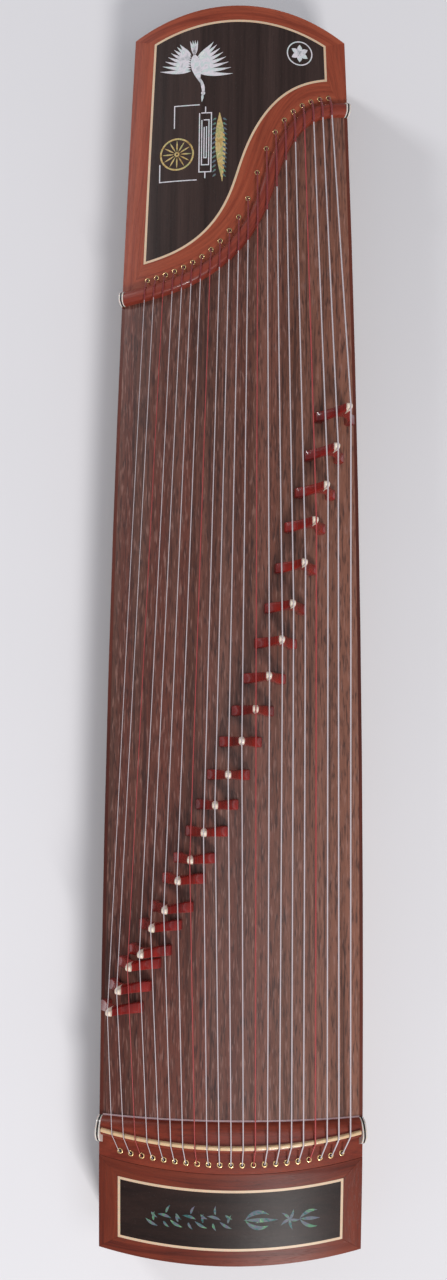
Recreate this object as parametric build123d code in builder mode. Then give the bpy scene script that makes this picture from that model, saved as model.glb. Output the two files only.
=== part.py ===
"""A 21-string guzheng (plucked zither) lying in its playing position, in millimetres.

+X points to the head, where the tuning box is, -X to the tail, -Y to the player (treble side)
and +Z up. The origin is the middle of the footprint, on the surface that the feet stand on.
The whole top is one cylinder whose axis runs along X, so each bridge can slide along its string.
"""

import math
import os

from build123d import *

os.makedirs("parts", exist_ok=True)

# ---- driving dimensions ---------------------------------------------------------------------
LENGTH = 1630.0  # tail tip to head tip
TAIL_TIP, HEAD_TIP = -LENGTH / 2, LENGTH / 2
FOOT_H = 20.0  # the feet lift the back board this high
BACK_T = 7.0  # back board
CROWN_Z = 125.0  # top of the arch above the surface
ARCH_R = 500.0  # radius of the arched top
BOARD_T = 8.5  # soundboard thickness
VENEER_T = 4.0  # frame rails and panels laid on a base
SIDE_T = 12.0  # side boards
SIDE_LIP = 4.5  # what shows of a side board beside the soundboard
TAIL_BOW, HEAD_BOW = 40.0, 12.0  # how far each end swells past its corners
HEAD_SLOPE = 5.0  # the lid falls towards the head end, in degrees
LIFT = 0.3  # gap between pieces that move on each other
BIG = 900.0  # longer than half the body

STRINGS = 21  # number 1 is on the treble side

# ---- stations along the body ----------------------------------------------------------------
BORDER_X = 645.0  # soundboard ends here in a white line
NUT_TOP_X = 661.0  # the nut's ramp reaches its height
RAMP_STEP = 1.5  # the ramp starts this far before the soundboard's end, so it leaves a low step
SADDLE_X, SADDLE_W = 673.0, 5.0  # bone strip
NUT_BACK_X = 677.5
DECK_T = 22.0  # block that the nut and the head eyelets stand on
HEAD_EYELET_X = 695.0
SEAM_X = 706.0  # the lid starts here
LID_PANEL_X = (725.0, 797.0)  # outside of the panel's border
NUT_H = 8.5  # nut above the arch
SADDLE_H = 12.0
LID_SIDE_RAIL = 24.0
TAIL_SIDE_RAIL, TAIL_END_RAIL = 27.0, 21.0
TAIL_NUT_W, TAIL_NUT_H, TAIL_NUT_ROUND = 19.0, 10.0, 8.0
TAIL_EYELET_OFF, TAIL_PANEL_OFF = 28.0, 52.0  # back from the S curve

# Front edge of the S-shaped tail nut, treble side to bass side.
S_CURVE = [
    (-392, -178), (-399, -125), (-415, -67), (-446, -17), (-487, 18), (-535, 41),
    (-585, 57), (-625, 76), (-652, 101), (-665, 136), (-668, 178),
]

# ---- strings and bridges --------------------------------------------------------------------
HEAD_PITCH, TAIL_PITCH, SADDLE_PITCH = 13.6, 12.1, 14.2  # across the arch
# Where each bridge stands, along the body and across the arch, as a player has set them.
BRIDGE_X = [
    512, 486, 458, 442, 411, 389, 354, 329, 296, 263, 226,
    185, 146, 105, 60, 15, -37, -91, -137, -187, -240,
]
BRIDGE_Y = [
    -135.5, -125.5, -114, -101, -89, -75, -61, -47.5, -33, -21, -7,
    7.5, 22.5, 37, 51, 63, 76, 88, 101, 112.5, 127,
]
BRIDGE_H = (48.0, 58.0)  # wood height, treble to bass
BRIDGE_HALF_W, FOOT_W = 27.0, 12.0
BRIDGE_FOOT_T, BRIDGE_TOP_T = 14.0, 8.0
TIP_W, TIP_H, TIP_ROUND = 8.0, 5.0, 3.5  # bone tip
STRING_D = (0.8, 1.9)  # treble to bass
WRAP_T = 0.4  # silk round each string at the tail
STRING_BEND = 2.0  # radius of a string's tightest bend
NUT_BEND_OFF = 13.4  # a string bends over the tail nut this far back from the S curve
WRAP_PAST = -3.0  # the silk ends this far past the S curve

# ---- tuning box -----------------------------------------------------------------------------
PIN_ROWS_X = (736.0, 757.0, 778.0)
PIN_R, PIN_HOLE_R = 2.5, 2.56
PIN_FOOT_Z, PIN_TOP_Z, PIN_SQUARE, PIN_SQUARE_H = 33.0, 78.0, 3.4, 11.0
PIN_BLOCK_TOP_Z = 52.0
LID_T = 8.0
CLEAT_W, CLEAT_H = 7.0, 7.0  # ledges under the lid that keep it in place
COIL_Z = 58.0

EYELET_R, EYELET_TUBE_R, EYELET_HOLE_R = 3.6, 2.45, 1.6
EYELET_BORE_R = 2.5
EYELET_FLANGE = 0.8

# ---- plates that close both ends of both nuts -------------------------------------------------
PLY_T, PLIES = 1.9, 3
# Where each stack stands, and its outline: along the body and up from the arch.
HEAD_CAP = [(-18, 0.1), (-18, 2), (-2, 13), (4, 13), (18, 2.5), (18, 0.1)]
TAIL_CAP = [(-9.5, 0.1), (-9.5, 4), (-4, 11), (4, 11), (9.5, 4), (9.5, 0.1)]
CAPS = [(665, -1, HEAD_CAP), (665, 1, HEAD_CAP), (-405, -1, TAIL_CAP), (-676, 1, TAIL_CAP)]

AXIS_Z = CROWN_Z - ARCH_R
BACK_TOP = FOOT_H + BACK_T
UNDER_R = ARCH_R - BOARD_T


# ---- shared shapes --------------------------------------------------------------------------
def half_width(x):
    """Half the body's width: widest near the right hand, slimmer to the tail."""
    return 162.5 + 0.011457 * x - 1.6665e-5 * x * x


def end_radius(half, bow):
    """Radius of an arc that swells by bow over a chord of twice half."""
    return (half**2 + bow**2) / (2 * bow)


TAIL_R = end_radius(half_width(TAIL_TIP + TAIL_BOW), TAIL_BOW)
HEAD_R = end_radius(half_width(HEAD_TIP - HEAD_BOW), HEAD_BOW)


def between_sides(inset=0.0):
    """Plan face between the two side curves, running past both ends."""
    ends = [half_width(-BIG) - inset, half_width(0) - inset, half_width(BIG) - inset]
    with BuildSketch() as face:
        with BuildLine():
            ThreePointArc((-BIG, ends[0]), (0, ends[1]), (BIG, ends[2]))
            Line((BIG, ends[2]), (BIG, -ends[2]))
            ThreePointArc((BIG, -ends[2]), (0, -ends[1]), (-BIG, -ends[0]))
            Line((-BIG, -ends[0]), (-BIG, ends[0]))
        make_face()
    return face.sketch


def tailward_of(x):
    """Plan face on the tail side of a bowed line across the head at x."""
    radius = HEAD_R - (HEAD_TIP - x)
    centre = x - radius
    with BuildSketch() as face:
        with Locations((centre, 0)):
            Circle(radius)
            Rectangle(2 * BIG, 2 * radius, align=(Align.MAX, Align.CENTER))
    return face.sketch


def headward_of_tail(inset=0.0):
    """Plan face inside the bowed tail end."""
    radius = TAIL_R - inset
    with BuildSketch() as face:
        with Locations((TAIL_TIP + TAIL_R, 0)):
            Circle(radius)
            Rectangle(2 * BIG, 2 * radius, align=(Align.MIN, Align.CENTER))
    return face.sketch


def s_points(back):
    """The S curve's points moved back towards the tail, square to the curve."""
    curve = Spline(*S_CURVE)
    moved = []
    for x, y in S_CURVE:
        along = curve % curve.param_at_point(Vector(x, y))
        moved.append((x - back * along.Y, y + back * along.X))
    return moved


def tailward_of_s(back=0.0):
    """Plan face on the tail side of the S curve."""
    points = s_points(back)
    first, last = points[0], points[-1]
    with BuildSketch() as face:
        with BuildLine():
            Spline(*points)
            Polyline(last, (last[0], BIG / 2), (-BIG, BIG / 2), (-BIG, -BIG / 2),
                     (first[0], -BIG / 2), first)
        make_face()
    return face.sketch


def common(*faces):
    """Plan face that all of these share."""
    with BuildSketch() as face:
        add(faces[0])
        for other in faces[1:]:
            add(other, mode=Mode.INTERSECT)
    return face.sketch


def less(face, *cuts):
    """Plan face without these others."""
    with BuildSketch() as rest:
        add(face)
        for cut in cuts:
            add(cut, mode=Mode.SUBTRACT)
    return rest.sketch


def outline(inset=0.0):
    """Plan face of the whole body."""
    return common(between_sides(inset), headward_of_tail(inset), tailward_of(HEAD_TIP - inset))


def strip(x, width):
    """Plan face straight across the body, from x on."""
    with BuildSketch() as face:
        with Locations((x, 0)):
            Rectangle(width, BIG, align=(Align.MIN, Align.CENTER))
    return face.sketch


def level_arch(radius):
    """Everything under a level arch."""
    with BuildPart() as under:
        with BuildSketch(Plane.YZ):
            with Locations((0, AXIS_Z)):
                Circle(radius)
        extrude(amount=BIG, both=True)
    return under.part


def head_arch(radius):
    """Everything under the arch, which slopes down past the lid's seam."""
    slope = Plane(origin=(SEAM_X, 0, CROWN_Z), x_dir=(0, 1, 0),
                  z_dir=(math.cos(math.radians(HEAD_SLOPE)), 0, -math.sin(math.radians(HEAD_SLOPE))))
    with BuildPart() as under:
        with BuildSketch(slope):
            with Locations((0, -ARCH_R)):
                Circle(radius)
        extrude(amount=BIG, both=True)
        add(level_arch(radius), mode=Mode.INTERSECT)
    return under.part


def ramp_arch(radius):
    """Everything under the arch, and under the nut's ramp up from the end of the soundboard."""
    rise = math.atan2(NUT_H, NUT_TOP_X - BORDER_X)
    slope = Plane(origin=(BORDER_X - RAMP_STEP, 0, CROWN_Z), x_dir=(0, 1, 0),
                  z_dir=(math.cos(rise), 0, math.sin(rise)))
    with BuildPart() as under:
        with BuildSketch(slope):
            with Locations((0, -ARCH_R)):
                Circle(ARCH_R)
        extrude(amount=BIG, both=True)
        add(level_arch(radius), mode=Mode.INTERSECT)
    return under.part


def layer(face, low, high, arch=level_arch):
    """Solid over a plan face between two radii of the arch, or from the back board up if low is 0."""
    with BuildPart() as solid:
        with BuildSketch(Plane.XY.offset(BACK_TOP)):
            add(face)
        extrude(amount=2 * CROWN_Z)
        add(arch(high), mode=Mode.INTERSECT)
        if low:
            add(arch(low), mode=Mode.SUBTRACT)
    return solid.part


def surface_plane(x, y, lift=0.0):
    """Plane on the arch over (x, y), its normal square to the arch and its X along the body."""
    angle = math.asin(y / ARCH_R)
    radius = ARCH_R + lift
    return Plane(origin=(x, radius * math.sin(angle), AXIS_Z + radius * math.cos(angle)),
                 x_dir=(1, 0, 0), z_dir=(0, math.sin(angle), math.cos(angle)))


def on_arch(x, y, lift=0.0):
    """A point lifted square off the arch, with y measured on the arch itself."""
    return surface_plane(x, y, lift).origin


def save(part, name):
    part.label = name
    export_step(part, f"parts/{name}.step")


# ---- where each string runs -----------------------------------------------------------------
def bow_x(x, y):
    """Where the bowed line across the head at x crosses y."""
    radius = HEAD_R - (HEAD_TIP - x)
    return x - radius + math.sqrt(radius**2 - y**2)


def s_x(back, y):
    """Where the S curve moved back crosses y, by bisection along it."""
    curve = Spline(*s_points(back))
    low, high = 0.0, 1.0
    for _ in range(40):
        middle = (low + high) / 2
        if (curve @ middle).Y < y:
            low = middle
        else:
            high = middle
    return (curve @ low).X


def string_y(number, pitch):
    return (number - (STRINGS + 1) / 2) * pitch


def share(number):
    """0 for the treble string and 1 for the bass string."""
    return (number - 1) / (STRINGS - 1)


def mix(pair, number):
    return pair[0] + (pair[1] - pair[0]) * share(number)


def tip_lift(number):
    """Height of the bone tip's crest above the arch."""
    return mix(BRIDGE_H, number) + TIP_H


def pin_place(number):
    return PIN_ROWS_X[(number - 1) % len(PIN_ROWS_X)], string_y(number, HEAD_PITCH * 0.96)


# ---- plan faces -----------------------------------------------------------------------------
body_face = outline()
tail_face = common(body_face, tailward_of_s())
tail_panel_face = common(headward_of_tail(TAIL_END_RAIL), between_sides(TAIL_SIDE_RAIL),
                         tailward_of_s(TAIL_PANEL_OFF))
head_face = common(body_face, strip(BORDER_X, BIG))
nut_deck_face = common(head_face, tailward_of(SEAM_X))
lid_face = less(head_face, tailward_of(SEAM_X + LIFT))
lid_panel_face = less(common(between_sides(LID_SIDE_RAIL), tailward_of(LID_PANEL_X[1])),
                      tailward_of(LID_PANEL_X[0]))
saddle_face = less(common(between_sides(6.0), tailward_of(SADDLE_X + SADDLE_W / 2)),
                   tailward_of(SADDLE_X - SADDLE_W / 2))
NUMBERS = range(1, STRINGS + 1)
tail_eyelets = []
head_eyelets = []
for number in NUMBERS:
    y = string_y(number, TAIL_PITCH)
    tail_eyelets.append(surface_plane(s_x(TAIL_EYELET_OFF, y), y))
    y = string_y(number, HEAD_PITCH)
    head_eyelets.append(surface_plane(bow_x(HEAD_EYELET_X, y), y))

# ---- body -----------------------------------------------------------------------------------
with BuildPart() as soundboard:
    add(layer(common(headward_of_tail(SIDE_T), between_sides(SIDE_LIP), less(body_face, head_face)),
              UNDER_R, ARCH_R))
    add(layer(tail_face, ARCH_R - VENEER_T, ARCH_R + 1), mode=Mode.SUBTRACT)
    with Locations(*tail_eyelets):
        Cylinder(EYELET_BORE_R, 60, mode=Mode.SUBTRACT)
save(soundboard.part, "soundboard")

with BuildPart() as back_board:
    with BuildSketch(Plane.XY.offset(FOOT_H)):
        add(body_face)
        with Locations((60, 0)):
            Ellipse(95, 55, mode=Mode.SUBTRACT)
        with Locations((-560, 0), (560, 0)):
            SlotOverall(150, 44, rotation=90, mode=Mode.SUBTRACT)
    extrude(amount=BACK_T)
save(back_board.part, "back_board")

# Under the soundboard, the veneers and the lid, the side boards leave their inner part or all lower.
side_face = less(body_face, between_sides(SIDE_T))
with BuildPart() as side_boards:
    add(layer(less(side_face, head_face), 0, ARCH_R))
    add(layer(common(side_face, head_face), 0, ARCH_R, head_arch))
    add(layer(less(between_sides(SIDE_LIP), head_face), UNDER_R, ARCH_R + 1), mode=Mode.SUBTRACT)
    add(layer(tail_face, ARCH_R - VENEER_T, ARCH_R + 1), mode=Mode.SUBTRACT)
    add(layer(nut_deck_face, ARCH_R - DECK_T, ARCH_R + 1), mode=Mode.SUBTRACT)
    add(layer(less(head_face, tailward_of(SEAM_X)), ARCH_R - LID_T - LIFT, ARCH_R + 1, head_arch),
        mode=Mode.SUBTRACT)
save(side_boards.part, "side_boards")

end_face = less(common(body_face, between_sides(SIDE_T)),
                common(headward_of_tail(SIDE_T), tailward_of(HEAD_TIP - SIDE_T)))
with BuildPart() as end_boards:
    add(layer(less(end_face, head_face), 0, ARCH_R - VENEER_T))
    add(layer(common(end_face, head_face), 0, ARCH_R - LID_T - LIFT, head_arch))
save(end_boards.part, "end_boards")

brace_inner = common(between_sides(SIDE_T), headward_of_tail(SIDE_T))
with BuildPart() as braces:
    for x in (-730, -380, -110, 230, 450):
        add(layer(common(brace_inner, strip(x, 12)), 0, UNDER_R))
    with BuildSketch(Plane.YZ):
        with Locations((0, BACK_TOP + 38)):
            SlotOverall(200, 44)
    extrude(amount=BIG, both=True, mode=Mode.SUBTRACT)
save(braces.part, "braces")

with BuildPart() as feet:
    for x, half in ((-700, 110), (700, 125)):
        with BuildSketch(Plane.XY):
            with Locations((x, half), (x, -half)):
                RectangleRounded(60, 34, 8)
        extrude(amount=FOOT_H)
save(feet.part, "feet")

# ---- head -----------------------------------------------------------------------------------
nut_front = common(nut_deck_face, tailward_of(NUT_BACK_X), between_sides(PLIES * PLY_T - 1.0))
with BuildPart() as head_block:
    add(layer(nut_deck_face, ARCH_R - DECK_T, ARCH_R))
    add(layer(nut_front, ARCH_R - 1, ARCH_R + NUT_H, ramp_arch))
    add(layer(common(strip(BORDER_X, 12), between_sides(SIDE_T)), 0, ARCH_R - DECK_T))
    add(layer(saddle_face, ARCH_R + NUT_H - 5, ARCH_R + NUT_H + 9), mode=Mode.SUBTRACT)
    with Locations(*head_eyelets):
        Cylinder(EYELET_BORE_R, 70, mode=Mode.SUBTRACT)
save(head_block.part, "head_block")

with BuildPart() as saddle:
    add(layer(saddle_face, ARCH_R + NUT_H - 5, ARCH_R + SADDLE_H))
    top = saddle.faces().sort_by(Axis.Z)[-1]
    long_edges = top.edges().sort_by(SortBy.LENGTH)[-2:]
    fillet(long_edges, 2.0)
save(saddle.part, "saddle")

pins = [pin_place(number) for number in NUMBERS]
with BuildPart() as pin_block:
    with BuildSketch(Plane.XY.offset(BACK_TOP)):
        add(common(between_sides(SIDE_T), tailward_of(HEAD_TIP - SIDE_T), strip(715, BIG)))
    extrude(amount=PIN_BLOCK_TOP_Z - BACK_TOP)
    with BuildSketch(Plane.XY.offset(PIN_FOOT_Z - 1)):
        with Locations(*pins):
            Circle(PIN_HOLE_R)
    extrude(amount=BIG, mode=Mode.SUBTRACT)
save(pin_block.part, "pin_block")

cleat_face = common(less(between_sides(SIDE_T + 0.5), between_sides(SIDE_T + 0.5 + CLEAT_W)),
                    strip(SEAM_X + 14, 70))
with BuildPart() as lid_frame:
    add(layer(lid_face, ARCH_R - LID_T, ARCH_R, head_arch))
    add(layer(lid_panel_face, ARCH_R - VENEER_T, ARCH_R + 1, head_arch), mode=Mode.SUBTRACT)
    add(layer(cleat_face, ARCH_R - LID_T - CLEAT_H, ARCH_R - LID_T, head_arch))
save(lid_frame.part, "lid_frame")

with BuildPart() as lid_panel:
    add(layer(lid_panel_face, ARCH_R - VENEER_T, ARCH_R, head_arch))
save(lid_panel.part, "lid_panel")

# ---- tail -----------------------------------------------------------------------------------
with BuildPart() as tail_frame:
    add(layer(less(tail_face, tail_panel_face), ARCH_R - VENEER_T, ARCH_R))
    with Locations(*tail_eyelets):
        Cylinder(EYELET_BORE_R, 60, mode=Mode.SUBTRACT)
save(tail_frame.part, "tail_frame")

with BuildPart() as tail_panel:
    add(layer(tail_panel_face, ARCH_R - VENEER_T, ARCH_R))
save(tail_panel.part, "tail_panel")

with BuildPart() as tail_nut:
    add(layer(less(common(between_sides(PLIES * PLY_T - 1.0), tailward_of_s()),
                   tailward_of_s(TAIL_NUT_W)), ARCH_R, ARCH_R + TAIL_NUT_H))
    top = tail_nut.faces().sort_by(Axis.Z)[-1]
    fillet(top.edges().sort_by(SortBy.LENGTH)[-2:], TAIL_NUT_ROUND)
save(tail_nut.part, "tail_nut")

# Brass ferrules in the holes that the strings pass through.
with BuildPart() as eyelets:
    for plane in tail_eyelets + head_eyelets:
        with BuildSketch(plane):
            Circle(EYELET_R)
            Circle(EYELET_HOLE_R, mode=Mode.SUBTRACT)
        extrude(amount=EYELET_FLANGE)
        with BuildSketch(plane):
            Circle(EYELET_TUBE_R)
            Circle(EYELET_HOLE_R, mode=Mode.SUBTRACT)
        extrude(amount=-7.0)
save(eyelets.part, "eyelets")

# Layered plates at the ends of both nuts: white, black and white.
with BuildPart() as end_caps:
    for x, side, outline_points in CAPS:
        for ply in range(PLIES):
            y = side * (half_width(x) - (PLIES - 1) * PLY_T + ply * PLY_T)
            base = surface_plane(x, y)
            upright = Plane(origin=base.origin, x_dir=(1, 0, 0), z_dir=-base.y_dir)
            with BuildSketch(upright):
                with BuildLine():
                    Polyline(*outline_points, close=True)
                make_face()
            extrude(amount=-side * (PLY_T - 0.04))
save(end_caps.part, "end_caps")

# ---- bridges, each free to slide along its string ---------------------------------------------
for number, x in zip(NUMBERS, BRIDGE_X):
    height = mix(BRIDGE_H, number)
    base = surface_plane(x, BRIDGE_Y[number - 1])
    front = Plane(origin=base.origin, x_dir=base.y_dir, z_dir=(1, 0, 0))
    flank = Plane(origin=base.origin, x_dir=(1, 0, 0), z_dir=-base.y_dir)
    with BuildPart() as bridge:
        with BuildSketch(front):
            with BuildLine():
                right = ThreePointArc((TIP_W / 2, height), (12.5, 0.5 * height), (BRIDGE_HALF_W - 1, 9))
                left = ThreePointArc((-TIP_W / 2, height), (-12.5, 0.5 * height), (1 - BRIDGE_HALF_W, 9))
                Line(left @ 0, right @ 0)
                Polyline(right @ 1, (BRIDGE_HALF_W, 4), (BRIDGE_HALF_W, -4), (-BRIDGE_HALF_W, -4),
                         (-BRIDGE_HALF_W, 4), left @ 1)
            make_face()
            Ellipse(BRIDGE_HALF_W - FOOT_W, 0.48 * height, mode=Mode.SUBTRACT)
            with Locations((0, -ARCH_R)):
                Circle(ARCH_R + LIFT, mode=Mode.SUBTRACT)
        extrude(amount=BRIDGE_FOOT_T / 2, both=True)
        with BuildSketch(flank):
            with BuildLine():
                Polyline((-BRIDGE_FOOT_T / 2, -5), (-BRIDGE_FOOT_T / 2, 4), (-BRIDGE_TOP_T / 2, height + 1),
                         (BRIDGE_TOP_T / 2, height + 1), (BRIDGE_FOOT_T / 2, 4), (BRIDGE_FOOT_T / 2, -5),
                         close=True)
            make_face()
        extrude(amount=2 * BRIDGE_HALF_W, both=True, mode=Mode.INTERSECT)
        with BuildSketch(flank) as tip:
            with Locations((0, height)):
                Rectangle(BRIDGE_TOP_T, TIP_H, align=(Align.CENTER, Align.MIN))
            fillet(tip.vertices().group_by(Axis.Y)[-1], TIP_ROUND)
        extrude(amount=TIP_W / 2, both=True)
    save(bridge.part, f"bridge_{number:02d}")

# ---- tuning pins ------------------------------------------------------------------------------
for number, (x, y) in zip(NUMBERS, pins):
    with BuildPart() as pin:
        with Locations((x, y, PIN_FOOT_Z)):
            Cylinder(PIN_R, PIN_TOP_Z - PIN_SQUARE_H - PIN_FOOT_Z, align=(Align.CENTER, Align.CENTER, Align.MIN))
        with Locations((x, y, PIN_TOP_Z - PIN_SQUARE_H)):
            Box(PIN_SQUARE, PIN_SQUARE, PIN_SQUARE_H, align=(Align.CENTER, Align.CENTER, Align.MIN))
    save(pin.part, f"tuning_pin_{number:02d}")

# ---- strings ----------------------------------------------------------------------------------


def string_path(number):
    """A string's corners: knot, tail eyelet, tail nut, bridge tip, bone strip, head eyelet, pin."""
    radius = mix(STRING_D, number) / 2
    over = EYELET_FLANGE + STRING_BEND + 0.1
    tail, head = tail_eyelets[number - 1], head_eyelets[number - 1]
    y = string_y(number, TAIL_PITCH)
    nut = on_arch(s_x(NUT_BEND_OFF, y), y, TAIL_NUT_H + radius + WRAP_T + 0.4)
    tip = on_arch(BRIDGE_X[number - 1], BRIDGE_Y[number - 1], tip_lift(number) + radius + LIFT)
    y = string_y(number, SADDLE_PITCH)
    bone = on_arch(bow_x(SADDLE_X + 1.3, y), y, SADDLE_H + radius + 0.2)
    x, y = pins[number - 1]
    coil = Vector(x, y + PIN_R + LIFT + radius, COIL_Z)
    return [tail.origin - tail.z_dir * (BOARD_T + 3), tail.origin + tail.z_dir * over, nut, tip, bone,
            head.origin + head.z_dir * over, head.origin - head.z_dir * (DECK_T + 3), coil]


def tube(points, inner, outer):
    """A round tube along these corners, or a rod if inner is 0."""
    with BuildPart() as run:
        with BuildLine():
            path = FilletPolyline(*points, radius=STRING_BEND)
        with BuildSketch(Plane(origin=points[0], z_dir=points[1] - points[0])):
            Circle(outer)
            if inner:
                Circle(inner, mode=Mode.SUBTRACT)
        sweep(path=path)
    return run.part


with BuildPart() as strings:
    for number in NUMBERS:
        radius = mix(STRING_D, number) / 2
        points = string_path(number)
        add(tube(points, 0, radius))
        with Locations(points[0]):
            Sphere(2.2)
        with Locations((pins[number - 1][0], pins[number - 1][1], COIL_Z)):
            Cylinder(PIN_R + LIFT + 2 * radius, 6 * radius)
            Cylinder(PIN_R + LIFT, 6 * radius, mode=Mode.SUBTRACT)
save(strings.part, "strings")

# Red silk round each string, from inside its eyelet to past the tail nut.
with BuildPart() as string_wraps:
    for number in NUMBERS:
        radius = mix(STRING_D, number) / 2
        points = string_path(number)
        y = string_y(number, TAIL_PITCH)
        share_past = (s_x(WRAP_PAST, y) - points[2].X) / (points[3].X - points[2].X)
        past = points[2] + (points[3] - points[2]) * share_past
        start = points[1] - tail_eyelets[number - 1].z_dir * 6
        add(tube([start, points[1], points[2], past], radius + 0.03, radius + WRAP_T))
save(string_wraps.part, "string_wraps")
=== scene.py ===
"""A 21-string guzheng, seen from above: bridges, strings, inlaid end panels and a lid over the tuning pins.

Sizes here are millimetres until a mesh is made. A place on the curved top is given by x along the
body, y across it, and a lift square off the arch. Every new piece is a grid or a ring of such places.
"""

import math

import bmesh
import bpy
import numpy as np
from mathutils import Matrix, Vector


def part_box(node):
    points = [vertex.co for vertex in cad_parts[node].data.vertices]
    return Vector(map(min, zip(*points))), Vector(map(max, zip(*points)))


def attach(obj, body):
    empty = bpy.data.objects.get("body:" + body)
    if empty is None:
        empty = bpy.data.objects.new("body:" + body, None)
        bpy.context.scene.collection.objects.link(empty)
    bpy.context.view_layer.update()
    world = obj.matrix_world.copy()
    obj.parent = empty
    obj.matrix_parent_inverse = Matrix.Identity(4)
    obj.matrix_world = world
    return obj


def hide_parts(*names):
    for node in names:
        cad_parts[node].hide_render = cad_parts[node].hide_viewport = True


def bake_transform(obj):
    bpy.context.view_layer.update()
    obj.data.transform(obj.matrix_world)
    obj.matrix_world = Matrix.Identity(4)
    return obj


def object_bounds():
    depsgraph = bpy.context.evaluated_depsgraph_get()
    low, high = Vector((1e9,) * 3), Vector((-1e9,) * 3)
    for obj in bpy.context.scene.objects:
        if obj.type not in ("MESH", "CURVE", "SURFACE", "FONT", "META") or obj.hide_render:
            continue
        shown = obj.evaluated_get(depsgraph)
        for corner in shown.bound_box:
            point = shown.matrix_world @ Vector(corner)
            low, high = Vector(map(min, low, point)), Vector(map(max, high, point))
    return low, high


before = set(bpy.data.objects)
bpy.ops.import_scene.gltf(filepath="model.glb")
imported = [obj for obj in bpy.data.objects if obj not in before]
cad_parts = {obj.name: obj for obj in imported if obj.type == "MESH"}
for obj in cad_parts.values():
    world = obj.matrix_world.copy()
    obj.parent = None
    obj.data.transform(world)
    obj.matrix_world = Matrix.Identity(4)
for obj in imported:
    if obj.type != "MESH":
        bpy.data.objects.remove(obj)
cad_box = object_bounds()
scene = bpy.context.scene
random = np.random.default_rng(21)

# ---- sizes the body shares with the frame -----------------------------------------------------
STRINGS = 21
NUMBERS = range(1, STRINGS + 1)  # from the treble string to the bass string
RED_STRINGS = (3, 8, 13, 18)
ARCH_R = 500.0
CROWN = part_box("soundboard")[1].z * 1000
AXIS = CROWN - ARCH_R
TAIL_TIP, HEAD_TIP = cad_box[0].x * 1000, cad_box[1].x * 1000
BORDER_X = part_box("soundboard")[1].x * 1000
SEAM_X = 706.0
HEAD_SLOPE = math.tan(math.radians(5.0))
TAIL_BOW, HEAD_BOW = 40.0, 12.0
SIDE_LIP = 4.5  # what shows of a side board beside the soundboard
SADDLE_X, HEAD_EYELET_X = 673.0, 695.0
BOARD_T, DECK_T, LID_T, VENEER_T, UNDER_VENEER = 8.5, 22.0, 8.0, 4.0, 4.05
NUT_H, SADDLE_H, TAIL_NUT_H, TAIL_NUT_W = 8.5, 12.0, 10.0, 19.0
HEAD_PITCH, TAIL_PITCH, SADDLE_PITCH = 13.6, 12.1, 14.2
TAIL_EYELET_OFF, NUT_BEND_OFF = 28.0, 13.4
TAIL_RAILS = 27, 21, 52  # widths at the sides, at the end and back from the S curve
LID_START, LID_END = 706.3, 815
LID_PANEL = 725, 24, 797  # its start, its distance from the sides and its end
LINE_W = 3  # cream line round each panel
STRING_R = 0.4, 0.95  # treble and bass
BRIDGE_H = 48.0, 58.0
TIP_H = 5.0
WRAP_T, WRAP_END, EYELET_FLANGE = 0.4, -3.0, 0.8  # the silk ends 3 in front of the S curve
BACK_TOP_Z, COIL_Z, PIN_R, PIN_HALF_SQUARE = 27.0, 58.0, 2.5, 1.7
PLY_T, PLIES = 1.9, 3
BRIDGE_X = [(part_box(f"bridge_{n:02d}")[0].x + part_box(f"bridge_{n:02d}")[1].x) * 500 for n in NUMBERS]
BRIDGE_Y = [
    -135.5, -125.5, -114, -101, -89, -75, -61, -47.5, -33, -21, -7,
    7.5, 22.5, 37, 51, 63, 76, 88, 101, 112.5, 127,
]
PIN_XY = [[(a + b) * 500 for a, b in zip(*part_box(f"tuning_pin_{n:02d}"))][:2] for n in NUMBERS]
S_KNOTS = np.array([
    (-392, -178), (-399, -125), (-415, -67), (-446, -17), (-487, 18), (-535, 41),
    (-585, 57), (-625, 76), (-652, 101), (-665, 136), (-668, 178),
], float)


# ---- the body's own surface -------------------------------------------------------------------
def half_width(x):
    """Half the body's width at x, a parabola that is widest near the right hand."""
    return 162.5 + 0.011457 * x - 1.6665e-5 * x * x


def arc_radius(half, bow):
    """Radius of an arc that swells by bow over a chord of twice half."""
    return (half**2 + bow**2) / (2 * bow)


TAIL_R = arc_radius(half_width(TAIL_TIP + TAIL_BOW), TAIL_BOW)
HEAD_R = arc_radius(half_width(HEAD_TIP - HEAD_BOW), HEAD_BOW)


def bow_x(x, y):
    """The bowed line across the head that passes x at the middle."""
    radius = HEAD_R - (HEAD_TIP - x)
    return x - radius + np.sqrt(radius**2 - np.square(y))


def tail_arc_x(inset, y):
    """The tail's swelling end, moved in by inset."""
    return TAIL_TIP + TAIL_R - np.sqrt((TAIL_R - inset) ** 2 - np.square(y))


def on_top(x, y, lift=0.0):
    """Points in metres: angle = asin(y / R), radius = R + lift, and the lid's part falls at its slope."""
    x, y, lift = np.broadcast_arrays(np.asarray(x, float), y, lift)
    angle = np.arcsin(y / ARCH_R)
    fall = HEAD_SLOPE * np.maximum(x - SEAM_X, 0)
    z = AXIS + (ARCH_R + lift) * np.cos(angle) - fall
    return np.stack((x, (ARCH_R + lift) * np.sin(angle), z), -1) / 1000


def top_frame(x, y):
    """Origin, along, across and outward directions on the arch, each as rows."""
    angle = np.arcsin(np.asarray(y, float) / ARCH_R)
    zero = np.zeros_like(angle)
    origin = on_top(x, y)
    across = np.stack((zero, np.cos(angle), -np.sin(angle)), -1)
    outward = np.stack((zero, np.sin(angle), np.cos(angle)), -1)
    along = np.broadcast_to((1.0, 0.0, 0.0), outward.shape)
    return origin, along, across, outward


def frame_at(x, y):
    """The same four rows for one place."""
    return (rows[0] for rows in top_frame(np.array([x]), np.array([y])))


def lifted(plan, lift):
    """A plan grid as points on the top, raised square to it."""
    return on_top(plan[..., 0], plan[..., 1], lift)


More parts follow.
